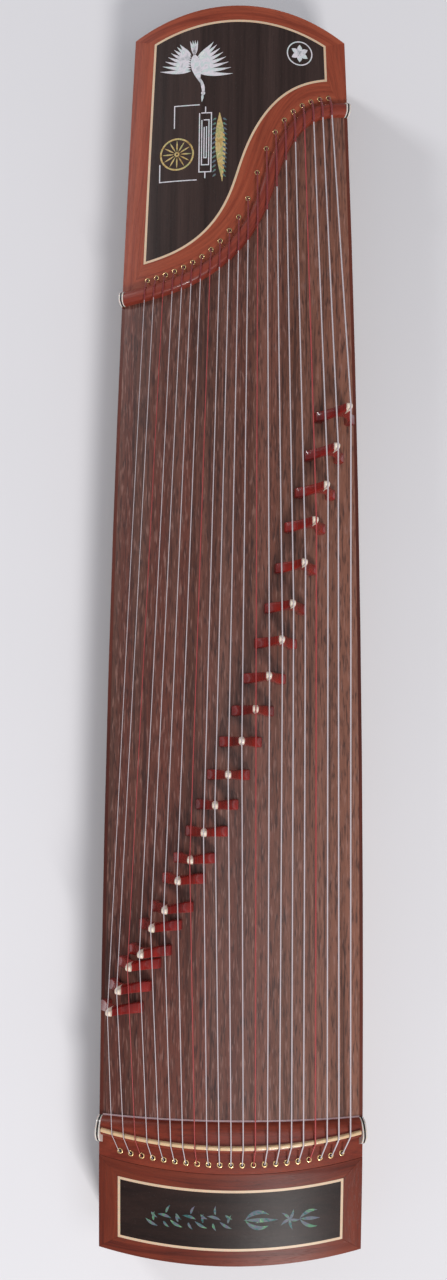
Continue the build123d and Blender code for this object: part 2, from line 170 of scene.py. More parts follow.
def natural_spline(knots, count):
    """A natural cubic spline through the knots, spaced by chord length, and its unit tangents."""
    t = np.r_[0, np.cumsum(np.linalg.norm(np.diff(knots, axis=0), axis=1))]
    h = np.diff(t)[:, None]
    slope = np.diff(knots, axis=0) / h
    size = len(knots)
    matrix = np.eye(size)
    right = np.zeros_like(knots)
    rows = np.arange(1, size - 1)
    matrix[rows, rows - 1] = h[:-1, 0]
    matrix[rows, rows] = 2 * (h[:-1, 0] + h[1:, 0])
    matrix[rows, rows + 1] = h[1:, 0]
    right[1:-1] = 6 * np.diff(slope, axis=0)
    bend = np.linalg.solve(matrix, right)
    at = np.linspace(0, t[-1], count)
    k = np.clip(np.searchsorted(t, at) - 1, 0, size - 2)
    u = (at - t[k])[:, None]
    first = slope[k] - h[k] * (2 * bend[k] + bend[k + 1]) / 6
    cubic = (bend[k + 1] - bend[k]) / (6 * h[k])
    points = knots[k] + first * u + bend[k] / 2 * u**2 + cubic * u**3
    tangents = np.gradient(points, axis=0)
    return points, tangents / np.linalg.norm(tangents, axis=1, keepdims=True)


S_LINE, S_ALONG = natural_spline(S_KNOTS, 900)


def s_offset(back):
    """The S curve moved back towards the tail, square to itself."""
    return S_LINE + back * np.stack((-S_ALONG[:, 1], S_ALONG[:, 0]), -1)


def s_x(back, y):
    """Where the moved S curve crosses y."""
    line = s_offset(back)
    return np.interp(y, line[:, 1], line[:, 0])


def settle(x_of_y, side, inset):
    """x where a line across meets a side's inset, found by going back and forth eight times."""
    x = 0.0
    for _ in range(8):
        x = float(x_of_y(side * (half_width(x) - inset)))
    return x


# ---- meshes -----------------------------------------------------------------------------------
def quads_between(a, b, c, d):
    """Rows of four vertex numbers from four equal arrays of them."""
    return np.stack((a, b, c, d), -1).reshape(-1, 4)


def grid_quads(rows, columns, start=0, wrap_rows=False, wrap_columns=False):
    """Quads of a grid whose vertices are counted row by row."""
    index = np.arange(rows * columns).reshape(rows, columns) + start
    if wrap_rows:
        index = np.vstack((index, index[:1]))
    if wrap_columns:
        index = np.hstack((index, index[:, :1]))
    return quads_between(index[:-1, :-1], index[1:, :-1], index[1:, 1:], index[:-1, 1:])


def add_piece(name, vertices, faces, material, body="body", slot="frame_wood", replaces=(), uv=None,
              sharp=35.0, bevel=0.0, ride=True):
    """A closed mesh from vertex rows and faces, with its faces turned outwards, riding on a body."""
    mesh = bpy.data.meshes.new(name)
    vertices = np.asarray(vertices, float).reshape(-1, 3)
    mesh.from_pydata(vertices.tolist(), [], [[int(v) for v in face] for face in faces])
    mesh.update()
    if uv is not None:
        corner = np.zeros(len(mesh.loops), np.int32)
        mesh.loops.foreach_get("vertex_index", corner)
        layer = mesh.uv_layers.new(name="grain")
        layer.data.foreach_set("uv", np.asarray(uv, np.float32).reshape(-1, 2)[corner].ravel())
    work = bmesh.new()
    work.from_mesh(mesh)
    bmesh.ops.recalc_face_normals(work, faces=work.faces)
    work.to_mesh(mesh)
    work.free()
    mesh.polygons.foreach_set("use_smooth", np.ones(len(mesh.polygons), bool))
    mesh.set_sharp_from_angle(angle=math.radians(sharp))
    mesh.materials.append(material)
    piece = bpy.data.objects.new(name, mesh)
    scene.collection.objects.link(piece)
    if bevel:
        edge = piece.modifiers.new("eased edges", "BEVEL")
        edge.width = bevel / 1000
        edge.segments = 2
        edge.limit_method = "ANGLE"
        edge.angle_limit = math.radians(50)
    if ride:
        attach(piece, body)
    if replaces:
        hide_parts(*replaces)
    return piece


def shell_parts(top, bottom, start=0):
    """Vertices and quads of a closed slab: a top grid, the same grid lower, and four walls."""
    rows, columns = top.shape[:2]
    count = rows * columns
    low = np.arange(count).reshape(rows, columns) + start + count
    high = low - count
    walls = [quads_between(high[i, :-1], high[i, 1:], low[i, 1:], low[i, :-1]) for i in (0, -1)]
    walls += [quads_between(high[:-1, j], high[1:, j], low[1:, j], low[:-1, j]) for j in (0, -1)]
    quads = [grid_quads(rows, columns, start), grid_quads(rows, columns, start + count)] + walls
    return np.vstack((top.reshape(-1, 3), bottom.reshape(-1, 3))), np.vstack(quads)


def add_shells(name, pairs, material, uvs=None, **more):
    """One piece from several closed slabs, each a (top grid, bottom grid) pair."""
    vertices, faces, start = [], [], 0
    for top, bottom in pairs:
        points, quads = shell_parts(top, bottom, start)
        vertices.append(points)
        faces.append(quads)
        start += len(points)
    uv = None if uvs is None else np.vstack([np.vstack((u.reshape(-1, 2),) * 2) for u in uvs])
    return add_piece(name, np.vstack(vertices), np.vstack(faces), material, uv=uv, **more)


def slab(plan, low, high):
    """A plan grid on the arch, between two lifts."""
    return lifted(plan, high), lifted(plan, low)


def ruled(first, second, across):
    """Plan grid of straight lines from one curve to the other, given as equal rows of points."""
    t = np.linspace(0, 1, across)[None, :, None]
    return first[:, None] * (1 - t) + second[:, None] * t


def strip_uv(plan, offset=0.0):
    """u is the way along the middle line and v the way across, in metres."""
    middle = plan[:, plan.shape[1] // 2]
    u = np.r_[0, np.cumsum(np.linalg.norm(np.diff(middle, axis=0), axis=1))]
    v = np.linalg.norm(plan - plan[:, :1], axis=-1)
    return np.stack((np.broadcast_to(u[:, None], v.shape) + offset, v + offset * 0.37), -1) / 1000


def loft_parts(rings, start=0):
    """Vertices and faces of rings joined into a tube and closed flat at both ends."""
    count, size = rings.shape[:2]
    faces = [list(quad) for quad in grid_quads(count, size, start, wrap_columns=True)]
    faces.append(list(range(start, start + size)))
    faces.append(list(range(start + (count - 1) * size, start + count * size)))
    return rings.reshape(-1, 3), faces


def add_lofts(name, lofts, material, uvs=None, **more):
    """One piece from several closed tubes, each given as its rings."""
    vertices, faces, start = [], [], 0
    for rings in lofts:
        points, found = loft_parts(rings, start)
        vertices.append(points)
        faces += found
        start += len(points)
    uv = None if uvs is None else np.vstack([u.reshape(-1, 2) for u in uvs])
    return add_piece(name, np.vstack(vertices), faces, material, uv=uv, **more)


def tube_rings(path, radius, sides, reference):
    """Circles round a path in metres: side = tangent x reference, top = side x tangent."""
    tangent = np.gradient(path, axis=0)
    tangent /= np.linalg.norm(tangent, axis=1, keepdims=True)
    side = np.cross(tangent, reference)
    side /= np.linalg.norm(side, axis=1, keepdims=True)
    top = np.cross(side, tangent)
    turn = np.linspace(0, 2 * np.pi, sides, endpoint=False)[None, :, None]
    radius = np.broadcast_to(np.asarray(radius, float), len(path))[:, None, None]
    return path[:, None] + radius * (side[:, None] * np.cos(turn) + top[:, None] * np.sin(turn))


def tube_uv(path, sides):
    """u is the way along in metres and v the turn."""
    u = np.r_[0, np.cumsum(np.linalg.norm(np.diff(path, axis=0), axis=1))]
    return np.stack(np.broadcast_arrays(u[:, None], np.linspace(0, 1, sides, endpoint=False)[None]), -1)


def eased(corners, reach, steps=6):
    """A run of straight lines whose corners are quadratic Bezier bends that start reach before them."""
    corners = np.asarray(corners, float)
    t = np.linspace(0, 1, steps)[:, None]
    parts = [corners[:1]]
    for before, corner, after in zip(corners[:-2], corners[1:-1], corners[2:]):
        back, ahead = before - corner, after - corner
        start = corner + back * min(reach / np.linalg.norm(back), 0.45)
        end = corner + ahead * min(reach / np.linalg.norm(ahead), 0.45)
        parts.append((1 - t) ** 2 * start + 2 * t * (1 - t) * corner + t**2 * end)
    parts.append(corners[-1:])
    return np.vstack(parts)


# ---- camera, light and floor ------------------------------------------------------------------
def set_camera():
    """Above the middle of the strings, tipped towards the tail and turned by half a degree."""
    tip, roll = math.radians(6.7), math.radians(0.55)
    forward = Vector((-math.sin(tip), 0, -math.cos(tip)))
    up = Vector((-math.cos(tip), 0, math.sin(tip)))
    right = forward.cross(up)
    up, right = up * math.cos(roll) - right * math.sin(roll), right * math.cos(roll) + up * math.sin(roll)
    data = bpy.data.cameras.new("camera")
    data.lens, data.sensor_width, data.clip_end = 32.34, 36.0, 30.0
    camera = bpy.data.objects.new("camera", data)
    camera.matrix_world = Matrix((
        (right.x, up.x, -forward.x, 0.2266),
        (right.y, up.y, -forward.y, -0.015),
        (right.z, up.z, -forward.z, 1.455 + CROWN / 1000),
        (0, 0, 0, 1),
    ))
    scene.collection.objects.link(camera)
    scene.camera = camera


def add_softbox(name, place, target, size, power, colour):
    data = bpy.data.lights.new(name, "AREA")
    data.shape, data.size, data.size_y, data.energy, data.color = "RECTANGLE", *size, power, colour
    lamp = bpy.data.objects.new(name, data)
    lamp.location = place
    lamp.rotation_euler = (Vector(target) - Vector(place)).to_track_quat("-Z", "Y").to_euler()
    scene.collection.objects.link(lamp)


# ---- node helpers -----------------------------------------------------------------------------
class Graph:
    """A thin hand for placing and joining shader nodes."""

    def __init__(self, tree):
        self.tree = tree

    def node(self, kind, inputs=None, **settings):
        made = self.tree.nodes.new(kind)
        for key, value in settings.items():
            setattr(made, key, value)
        for key, value in (inputs or {}).items():
            self.feed(made.inputs[key], value)
        return made

    def feed(self, socket, value):
        if isinstance(value, bpy.types.NodeSocket):
            self.tree.links.new(value, socket)
        elif isinstance(value, bpy.types.Node):
            self.tree.links.new(value.outputs[0], socket)
        else:
            socket.default_value = value

    def maths(self, operation, a, b=0.0):
        return self.node("ShaderNodeMath", {0: a, 1: b}, operation=operation).outputs[0]

    def vector_maths(self, operation, a, b):
        return self.node("ShaderNodeVectorMath", {0: a, 1: b}, operation=operation).outputs[0]

    def noise(self, vector, scale, detail=3.0, roughness=0.55, out="Fac"):
        return self.node("ShaderNodeTexNoise", {"Vector": vector, "Scale": scale, "Detail": detail,
                                                "Roughness": roughness}).outputs[out]

    def spread(self, value, low, high, to_low=0.0, to_high=1.0):
        return self.node("ShaderNodeMapRange", {"Value": value, "From Min": low, "From Max": high,
                                                "To Min": to_low, "To Max": to_high}).outputs[0]

    def mix(self, share, a, b):
        return self.node("ShaderNodeMix", {0: share, 6: a, 7: b}, data_type="RGBA").outputs[2]

    def ramp(self, value, *stops):
        made = self.node("ShaderNodeValToRGB", {"Fac": value})
        elements = made.color_ramp.elements
        while len(elements) < len(stops):
            elements.new(0.5)
        for element, (place, colour) in zip(elements, stops):
            element.position, element.color = place, (*colour, 1.0)
        return made.outputs[0]


def shade(*channels):
    """An sRGB colour given 0 to 255, as linear light."""
    c = np.array(channels, float) / 255
    return tuple(np.where(c <= 0.04045, c / 12.92, ((c + 0.055) / 1.055) ** 2.4))


def rgba(*channels):
    return (*shade(*channels), 1.0)


def new_group(name, inputs, outputs):
    tree = bpy.data.node_groups.new(name, "ShaderNodeTree")
    for label, kind, value in inputs:
        socket = tree.interface.new_socket(label, in_out="INPUT", socket_type=kind)
        if value is not None:
            socket.default_value = value
    for label, kind in outputs:
        tree.interface.new_socket(label, in_out="OUTPUT", socket_type=kind)
    graph = Graph(tree)
    return tree, graph, graph.node("NodeGroupInput").outputs, graph.node("NodeGroupOutput").inputs


def make_grain_group():
    """Wood grain. Vector has u along the grain; its other two run across, one unit to a streak."""
    tree, g, take, give = new_group("grain", [
        ("Vector", "NodeSocketVector", None), ("Warp", "NodeSocketFloat", 0.5)], [
        ("Streak", "NodeSocketFloat"), ("Fibre", "NodeSocketFloat"), ("Pore", "NodeSocketFloat"),
        ("Figure", "NodeSocketFloat")])
    sway = g.vector_maths("SUBTRACT", g.noise(take["Vector"], 0.22, 2.0, out="Color"), (0.5, 0.5, 0.5))
    sway = g.node("ShaderNodeVectorMath", {0: sway, "Scale": take["Warp"]}, operation="SCALE").outputs[0]
    at = g.vector_maths("ADD", take["Vector"], sway)
    g.feed(give["Streak"], g.spread(g.noise(at, 0.9, 5.0, 0.62), 0.32, 0.68))
    fine = g.vector_maths("MULTIPLY", at, (2.4, 5.5, 5.5))
    g.feed(give["Fibre"], g.noise(fine, 1.0, 3.0, 0.65))
    short = g.vector_maths("MULTIPLY", at, (7.0, 7.5, 7.5))
    g.feed(give["Pore"], g.spread(g.noise(short, 1.0, 1.0, 0.4), 0.64, 0.72))
    g.feed(give["Figure"], g.spread(g.noise(at, 0.2, 2.0, 0.5), 0.35, 0.65))
    return tree


def make_handling_group():
    """Polish that isn't even: broad smears and fine rubbed lines, and a little settled dust."""
    tree, g, take, give = new_group("handling", [
        ("Vector", "NodeSocketVector", None)], [("Smear", "NodeSocketFloat"), ("Dust", "NodeSocketFloat")])
    broad = g.noise(take["Vector"], 9.0, 3.0, 0.6)
    rubbed = g.noise(g.vector_maths("MULTIPLY", take["Vector"], (40.0, 400.0, 400.0)), 1.0, 2.0)
    g.feed(give["Smear"], g.maths("ADD", g.maths("MULTIPLY", broad, 0.7), g.maths("MULTIPLY", rubbed, 0.3)))
    specks = g.noise(take["Vector"], 900.0, 1.0, 0.3)
    g.feed(give["Dust"], g.spread(specks, 0.7, 0.78))
    return tree


def make_winding_group():
    """Thread wound round a core: a rounded ridge for every pitch along u, leaning with the turn v."""
    tree, g, take, give = new_group("winding", [
        ("Vector", "NodeSocketVector", None), ("Pitch", "NodeSocketFloat", 0.0006)], [
        ("Ridge", "NodeSocketFloat"), ("Fuzz", "NodeSocketFloat")])
    parts = g.node("ShaderNodeSeparateXYZ", {0: take["Vector"]}).outputs
    turns = g.maths("ADD", g.maths("DIVIDE", parts[0], take["Pitch"]), parts[1])
    g.feed(give["Ridge"], g.maths("ABSOLUTE", g.maths("SINE", g.maths("MULTIPLY", turns, math.pi))))
    g.feed(give["Fuzz"], g.noise(g.vector_maths("MULTIPLY", take["Vector"], (1200.0, 6.0, 1.0)), 1.0, 2.0))
    return tree


GRAIN, HANDLING, WINDING = make_grain_group(), make_handling_group(), make_winding_group()


def new_material(name, **fixed):
    """A material with its Principled shader, whose even values are set on the shader's own sockets."""
    material = bpy.data.materials.new(name)
    material.use_nodes = True
    g = Graph(material.node_tree)
    shader = material.node_tree.nodes["Principled BSDF"]
    for key, value in fixed.items():
        shader.inputs[key.replace("_", " ")].default_value = value
    return material, g, shader.inputs


def object_place(g):
    return g.node("ShaderNodeTexCoord").outputs["Object"]


def uv_place(g):
    return g.node("ShaderNodeUVMap", uv_map="grain").outputs[0]


def use_group(g, tree, **inputs):
    made = g.node("ShaderNodeGroup", node_tree=tree)
    for key, value in inputs.items():
        g.feed(made.inputs[key], value)
    return made.outputs


def bump(g, height, depth, normal=None):
    made = g.node("ShaderNodeBump", {"Height": height, "Strength": 1.0, "Distance": depth / 1000})
    if normal is not None:
        g.feed(made.inputs["Normal"], normal)
    return made.outputs[0]


def make_wood(name, dark, mid, light, pore, across, along, by="object", warp=0.6, rough=0.34,
              coat=0.5, coat_rough=0.12, gloss=0.25, depth=0.05, tint=None):
    """Lacquered wood. across and along are streaks per metre; by says what the grain follows."""
    material, g, shader = new_material(name, Coat_Weight=coat, Coat_Roughness=coat_rough,
                                       Specular_IOR_Level=gloss)
    place = uv_place(g) if by == "uv" else object_place(g)
    scale = (across, along, across) if by == "object y" else (along, across, across)
    vector = g.vector_maths("MULTIPLY", place, scale)
    if by == "object y":
        vector = g.node("ShaderNodeMapping", {"Vector": vector, "Rotation": (0, 0, math.pi / 2)}).outputs[0]
    grain = use_group(g, GRAIN, Vector=vector, Warp=warp)
    handling = use_group(g, HANDLING, Vector=place)
    colour = g.mix(grain["Streak"], dark, mid)
    colour = g.mix(g.maths("MULTIPLY", grain["Figure"], 0.55), colour, light)
    colour = g.mix(g.spread(grain["Fibre"], 0.3, 0.7, 0.0, 0.35), colour, dark)
    colour = g.mix(g.maths("MULTIPLY", grain["Pore"], 0.6), colour, pore)
    if tint:
        colour = tint(g, colour)
    colour = g.mix(g.maths("MULTIPLY", handling["Dust"], 0.05), colour, (0.5, 0.48, 0.46, 1))
    g.feed(shader["Base Color"], colour)
    roughness = g.maths("ADD", g.maths("MULTIPLY", handling["Smear"], 0.16), rough - 0.08)
    g.feed(shader["Roughness"], g.maths("ADD", roughness, g.maths("MULTIPLY", grain["Pore"], 0.12)))
    height = g.maths("SUBTRACT", g.maths("MULTIPLY", grain["Fibre"], 0.5), grain["Pore"])
    g.feed(shader["Normal"], bump(g, height, depth))
    return material


def soundboard_tint_and_painted_light(g, colour):
    """Redder bands on the treble side, painted shade darkening the treble edge and painted light making the
    bass side warmer and lighter, with short dark flecks 2 to 3 mm wide and long dark lines."""
    place = object_place(g)
    parts = g.node("ShaderNodeSeparateXYZ", {0: place}).outputs
    side = g.spread(parts[1], -0.16, 0.16)
    bands = g.noise(g.vector_maths("MULTIPLY", place, (0.9, 34.0, 8.0)), 1.0, 2.0)
    red = g.maths("MULTIPLY", g.spread(side, 0.0, 0.85, 1.0, 0.25), g.spread(bands, 0.42, 0.62))
    colour = g.mix(g.maths("MULTIPLY", red, 0.6), colour, rgba(112, 54, 44))
    # painted shade: the treble edge is darkened towards a deep brown
    colour = g.mix(g.spread(side, 0.0, 0.35, 0.4, 0.0), colour, rgba(56, 30, 24))
    # painted light: the bass side is lightened and warmed
    bass_painted_light = g.maths("MULTIPLY", g.spread(side, 0.5, 1.0), 0.55)
    colour = g.mix(bass_painted_light, colour, rgba(142, 94, 74))
    flecks = g.noise(g.vector_maths("MULTIPLY", place, (46.0, 400.0, 60.0)), 1.0, 3.0, 0.6)
    colour = g.mix(g.spread(flecks, 0.5, 0.66, 0.0, 0.75), colour, rgba(46, 28, 27))
    pale = g.noise(g.vector_maths("MULTIPLY", place, (38.0, 330.0, 50.0)), 1.3, 2.0, 0.5)
    colour = g.mix(g.spread(pale, 0.56, 0.7, 0.0, 0.5), colour, rgba(150, 112, 102))
    lines = g.vector_maths("MULTIPLY", place, (2.6, 240.0, 30.0))
    dark = g.spread(g.noise(lines, 1.0, 3.0, 0.7), 0.55, 0.66)
    return g.mix(g.maths("MULTIPLY", dark, 0.65), colour, rgba(44, 26, 25))


def make_inlay_shell(name, stops, scale, rough=0.16, stretch=(1.0, 1.0, 1.0), metallic=0.0):
    """Polished shell: bands of colour from a noise that is warped by another noise."""
    material, g, shader = new_material(name, Coat_Weight=0.7, Coat_Roughness=0.05, Metallic=metallic)
    place = g.vector_maths("MULTIPLY", object_place(g), stretch)
    warp = g.vector_maths("MULTIPLY", g.noise(place, scale * 0.4, 2.0, out="Color"), (0.03, 0.03, 0.03))
    bands = g.noise(g.vector_maths("ADD", place, warp), scale, 4.0, 0.6)
    g.feed(shader["Base Color"], g.ramp(bands, *stops))
    fine = g.noise(place, scale * 9, 2.0)
    g.feed(shader["Roughness"], g.spread(fine, 0.3, 0.7, rough * 0.7, rough * 1.6))
    g.feed(shader["Normal"], bump(g, bands, 0.08))
    return material


def make_bone(name, base, stain, rough=0.3):
    """Polished bone: short dark flecks along the grain and a slow change of cream."""
    material, g, shader = new_material(name, Coat_Weight=0.4, Coat_Roughness=0.1, Subsurface_Weight=0.12,
                                       Subsurface_Scale=0.002)
    place = object_place(g)
    slow = g.noise(place, 60.0, 3.0)
    flecks = g.spread(g.noise(g.vector_maths("MULTIPLY", place, (1500.0, 260.0, 1500.0)), 1.0, 2.0), 0.6, 0.75)
    colour = g.mix(g.maths("MULTIPLY", slow, 0.6), base, stain)
    g.feed(shader["Base Color"], g.mix(g.maths("MULTIPLY", flecks, 0.35), colour, stain))
    g.feed(shader["Roughness"], g.spread(slow, 0.3, 0.7, rough * 0.8, rough * 1.2))
    g.feed(shader["Normal"], bump(g, flecks, 0.02))
    return material


def make_wound(name, colour, gap, pitch, rough, depth, metallic=0.0, sheen=0.0):
    """String or silk: wound thread, darker between its turns with painted shade."""
    material, g, shader = new_material(name, Metallic=metallic, Sheen_Weight=sheen)
    winding = use_group(g, WINDING, Vector=uv_place(g), Pitch=pitch)
    # painted shade: the grooves between the turns take the darker gap colour
    shaded = g.mix(g.spread(winding["Ridge"], 0.0, 0.5, 0.55, 0.0), colour, gap)
    g.feed(shader["Base Color"], g.mix(g.spread(winding["Fuzz"], 0.35, 0.7, 0.0, 0.25), shaded, gap))
    g.feed(shader["Roughness"], g.spread(winding["Fuzz"], 0.3, 0.7, rough * 0.8, rough * 1.25))
    g.feed(shader["Normal"], bump(g, winding["Ridge"], depth))
    return material


def make_metal(name, colour, tarnish, rough, lines=(300.0, 300.0, 3000.0)):
    """Plated metal with fine turned lines and patches that have dulled."""
    material, g, shader = new_material(name, Metallic=1.0)
    place = object_place(g)
    patches = g.spread(g.noise(place, 220.0, 3.0), 0.45, 0.75)
    turned = g.noise(g.vector_maths("MULTIPLY", place, lines), 1.0, 2.0)
    g.feed(shader["Base Color"], g.mix(g.maths("MULTIPLY", patches, 0.5), colour, tarnish))
    g.feed(shader["Roughness"], g.maths("ADD", g.maths("MULTIPLY", patches, 0.2), rough))
    g.feed(shader["Normal"], bump(g, turned, 0.01))
    return material


def make_floor():
    """Pale, matt and very slightly cloudy."""
    material, g, shader = new_material("pale floor")
    cloud = g.noise(object_place(g), 1.2, 3.0)
    g.feed(shader["Base Color"], g.mix(cloud, rgba(222, 221, 224), rgba(214, 213, 216)))
    g.feed(shader["Roughness"], g.spread(cloud, 0.3, 0.7, 0.85, 0.95))
    return material


# ---- finishes ---------------------------------------------------------------------------------
BOARD = make_wood("soundboard wood", rgba(62, 34, 26), rgba(104, 64, 52), rgba(132, 90, 78), rgba(36, 20, 17),
                  across=210.0, along=5.0, warp=1.2, rough=0.42, coat=0.0, gloss=0.35, tint=soundboard_tint_and_painted_light)
SIDE_WOOD = make_wood("side wood", rgba(58, 24, 18), rgba(92, 40, 30), rgba(116, 56, 40), rgba(32, 12, 9),
                      across=260.0, along=7.0, rough=0.36, coat=0.15)
RAIL_WOOD = make_wood("rail wood", rgba(106, 43, 29), rgba(150, 68, 46), rgba(176, 92, 64), rgba(64, 23, 16),
                      across=300.0, along=14.0, by="uv", warp=0.8, rough=0.38, coat=0.03)
NUT_WOOD = make_wood("tail nut wood", rgba(92, 32, 24), rgba(136, 52, 38), rgba(158, 74, 54), rgba(52, 18, 13),
                     across=420.0, along=16.0, by="uv", rough=0.36, coat=0.2)
HEAD_WOOD = make_wood("head wood", rgba(82, 28, 19), rgba(122, 46, 31), rgba(146, 66, 44), rgba(48, 14, 10),
                      across=330.0, along=12.0, by="object y", rough=0.36, coat=0.03)
LID_WOOD = make_wood("lid rail wood", rgba(72, 26, 17), rgba(110, 43, 28), rgba(136, 62, 40), rgba(40, 13, 9),
                     across=300.0, along=14.0, by="uv", rough=0.36, coat=0.03)
PANEL_WOOD = make_wood("dark panel wood", rgba(24, 15, 13), rgba(48, 34, 31), rgba(76, 58, 54), rgba(12, 7, 6),
                       across=260.0, along=6.0, warp=1.4, rough=0.38, coat=0.03)
LID_PANEL_WOOD = make_wood("lid panel wood", rgba(20, 11, 9), rgba(36, 22, 19), rgba(52, 34, 29),
                           rgba(10, 5, 4), across=320.0, along=9.0, by="object y", rough=0.34, coat=0.03)
BRIDGE_WOOD = make_wood("bridge wood", rgba(82, 9, 9), rgba(136, 22, 19), rgba(176, 44, 32), rgba(40, 5, 4),
                        across=420.0, along=30.0, by="uv", rough=0.26, coat=0.5, coat_rough=0.08, gloss=0.5)
INNER_WOOD = make_wood("unfinished pale wood", rgba(150, 116, 78), rgba(184, 148, 104), rgba(204, 172, 128),
                       rgba(118, 86, 54), across=170.0, along=5.0, rough=0.62, coat=0.0, depth=0.12)
PIN_WOOD = make_wood("pin block maple", rgba(164, 126, 86), rgba(196, 160, 116), rgba(214, 184, 142),
                     rgba(128, 94, 60), across=260.0, along=10.0, by="object y", rough=0.5, coat=0.1)
FOOT_WOOD = make_wood("foot wood", rgba(40, 20, 16), rgba(66, 34, 27), rgba(84, 46, 36), rgba(22, 10, 8),
                      across=300.0, along=12.0, rough=0.4, coat=0.3)
BONE = make_bone("polished bone", rgba(232, 220, 206), rgba(184, 158, 130))
SADDLE_BONE = make_bone("old bone", rgba(222, 192, 152), rgba(176, 138, 98))
CREAM = make_bone("cream line", rgba(214, 188, 160), rgba(176, 142, 112), rough=0.38)
PINK_LINE = make_bone("pale cross line", rgba(204, 172, 176), rgba(160, 122, 120), rough=0.38)
WHITE_PLY = make_bone("white end plate", rgba(218, 210, 204), rgba(176, 162, 146), rough=0.3)
BLACK_PLY = make_wood("black end plate", rgba(10, 9, 9), rgba(20, 18, 18), rgba(34, 31, 30), rgba(5, 5, 5),
                      across=300.0, along=20.0, rough=0.34, coat=0.2)
PEARL = make_inlay_shell("white pearl", [
    (0.25, shade(150, 152, 160)), (0.42, shade(196, 196, 200)), (0.5, shade(216, 206, 214)),
    (0.58, shade(186, 200, 200)), (0.75, shade(226, 222, 218))], 90.0)
ABALONE = make_inlay_shell("abalone", [
    (0.25, shade(20, 44, 50)), (0.4, shade(50, 100, 96)), (0.5, shade(100, 92, 112)),
    (0.6, shade(72, 128, 94)), (0.75, shade(164, 178, 148))], 160.0, stretch=(1.0, 0.5, 1.0))
GOLD_SHELL = make_inlay_shell("gold shell", [
    (0.25, shade(112, 86, 42)), (0.42, shade(168, 138, 80)), (0.52, shade(196, 172, 118)),
    (0.6, shade(142, 146, 92)), (0.75, shade(212, 190, 142))], 120.0)
BRASS = make_metal("brass", rgba(224, 190, 140), rgba(170, 128, 84), 0.26)
NICKEL = make_metal("nickel", rgba(196, 194, 188), rgba(132, 128, 120), 0.18)
WHITE_STRING = make_wound("white nylon string", rgba(196, 186, 191), rgba(130, 120, 124), 0.0006, 0.4, 0.05)
RED_STRING = make_wound("red nylon string", rgba(170, 62, 62), rgba(106, 28, 30), 0.0006, 0.4, 0.05)
SILK = make_wound("dark red silk", rgba(128, 20, 28), rgba(54, 8, 12), 0.0009, 0.6, 0.12, sheen=0.2)
HOLE = make_wood("hole shadow", rgba(8, 5, 4), rgba(14, 9, 8), rgba(20, 13, 11), rgba(4, 3, 3),
                 across=300.0, along=60.0, rough=0.8, coat=0.0)


def finish_nodes(material, *nodes):
    """The frame's own pieces that stay in view take this material."""
    for node in nodes:
        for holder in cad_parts[node].material_slots:
            holder.material = material


# ---- plan curves ------------------------------------------------------------------------------
def evenly(points, count):
    """The same curve with this many points, equally far apart along it."""
    t = np.r_[0, np.cumsum(np.linalg.norm(np.diff(points, axis=0), axis=1))]
    at = np.linspace(0, t[-1], count)
    return np.stack([np.interp(at, t, column) for column in points.T], -1)


def side_run(start, end, side, inset, count):
    """A line along one side of the body, moved in by inset."""
    x = np.linspace(start, end, count)
    return np.stack((x, side * (half_width(x) - inset)), -1)


def s_run(back, inset, count):
    """The moved S curve from the treble side to the bass side, ending at an inset from both."""
    ends = [settle(lambda y: s_x(back, y), side, inset) for side in (-1, 1)]
    low, high = (side * (half_width(x) - inset) for side, x in zip((-1, 1), ends))
    line = s_offset(back)
    inside = line[(line[:, 1] > low) & (line[:, 1] < high)]
    return evenly(np.vstack(((ends[0], low), inside, (ends[1], high))), count)


def across_run(x_of_y, inset, count):
    """A line across the body, given as x of y, from the treble side to the bass side."""
    low, high = (side * (half_width(settle(x_of_y, side, inset)) - inset) for side in (-1, 1))
    y = np.linspace(low, high, count)
    return np.stack((x_of_y(y), y), -1)


def tail_ring(side_in, end_in, s_in, count=160):
    """Four curves round the tail: treble side, S curve, bass side and tail end, corner to corner."""
    front = s_run(s_in, side_in, count)
    end = across_run(lambda y: tail_arc_x(end_in, y), side_in, count)
    treble = side_run(end[0, 0], front[0, 0], -1, side_in, count)
    bass = side_run(end[-1, 0], front[-1, 0], 1, side_in, count)
    return [treble, front, bass, end]


def lid_ring(start, side_in, end, count=80):
    """Four curves round the lid: treble side, seam, bass side and head end, corner to corner."""
    seam = across_run(lambda y: bow_x(start, y), side_in, count)
    last = across_run(lambda y: bow_x(end, y), side_in, count)
    return [side_run(seam[0, 0], last[0, 0], -1, side_in, count), seam,
            side_run(seam[-1, 0], last[-1, 0], 1, side_in, count), last]


def add_frame(name, outer, inner, low, high, across, material, **more):
    """Mitred strips between two rings of curves, each with its grain along it."""
    plans = [ruled(a, b, across) for a, b in zip(outer, inner)]
    return add_shells(name, [slab(plan, low, high) for plan in plans], material,
                      [strip_uv(plan, 311.0 * i) for i, plan in enumerate(plans)], **more)


def filled(ring, across):
    """Plan grid that fills a ring: straight lines from its second curve to its fourth."""
    return ruled(ring[1], ring[3], across)


def string_y(number, pitch):
    """A string's place across the body; the middle string is at 0."""
    return (number - (STRINGS + 1) / 2) * pitch


def blended(pair, number):
    """A size that goes evenly from the treble string's to the bass string's."""
    return pair[0] + (pair[1] - pair[0]) * (number - 1) / (STRINGS - 1)


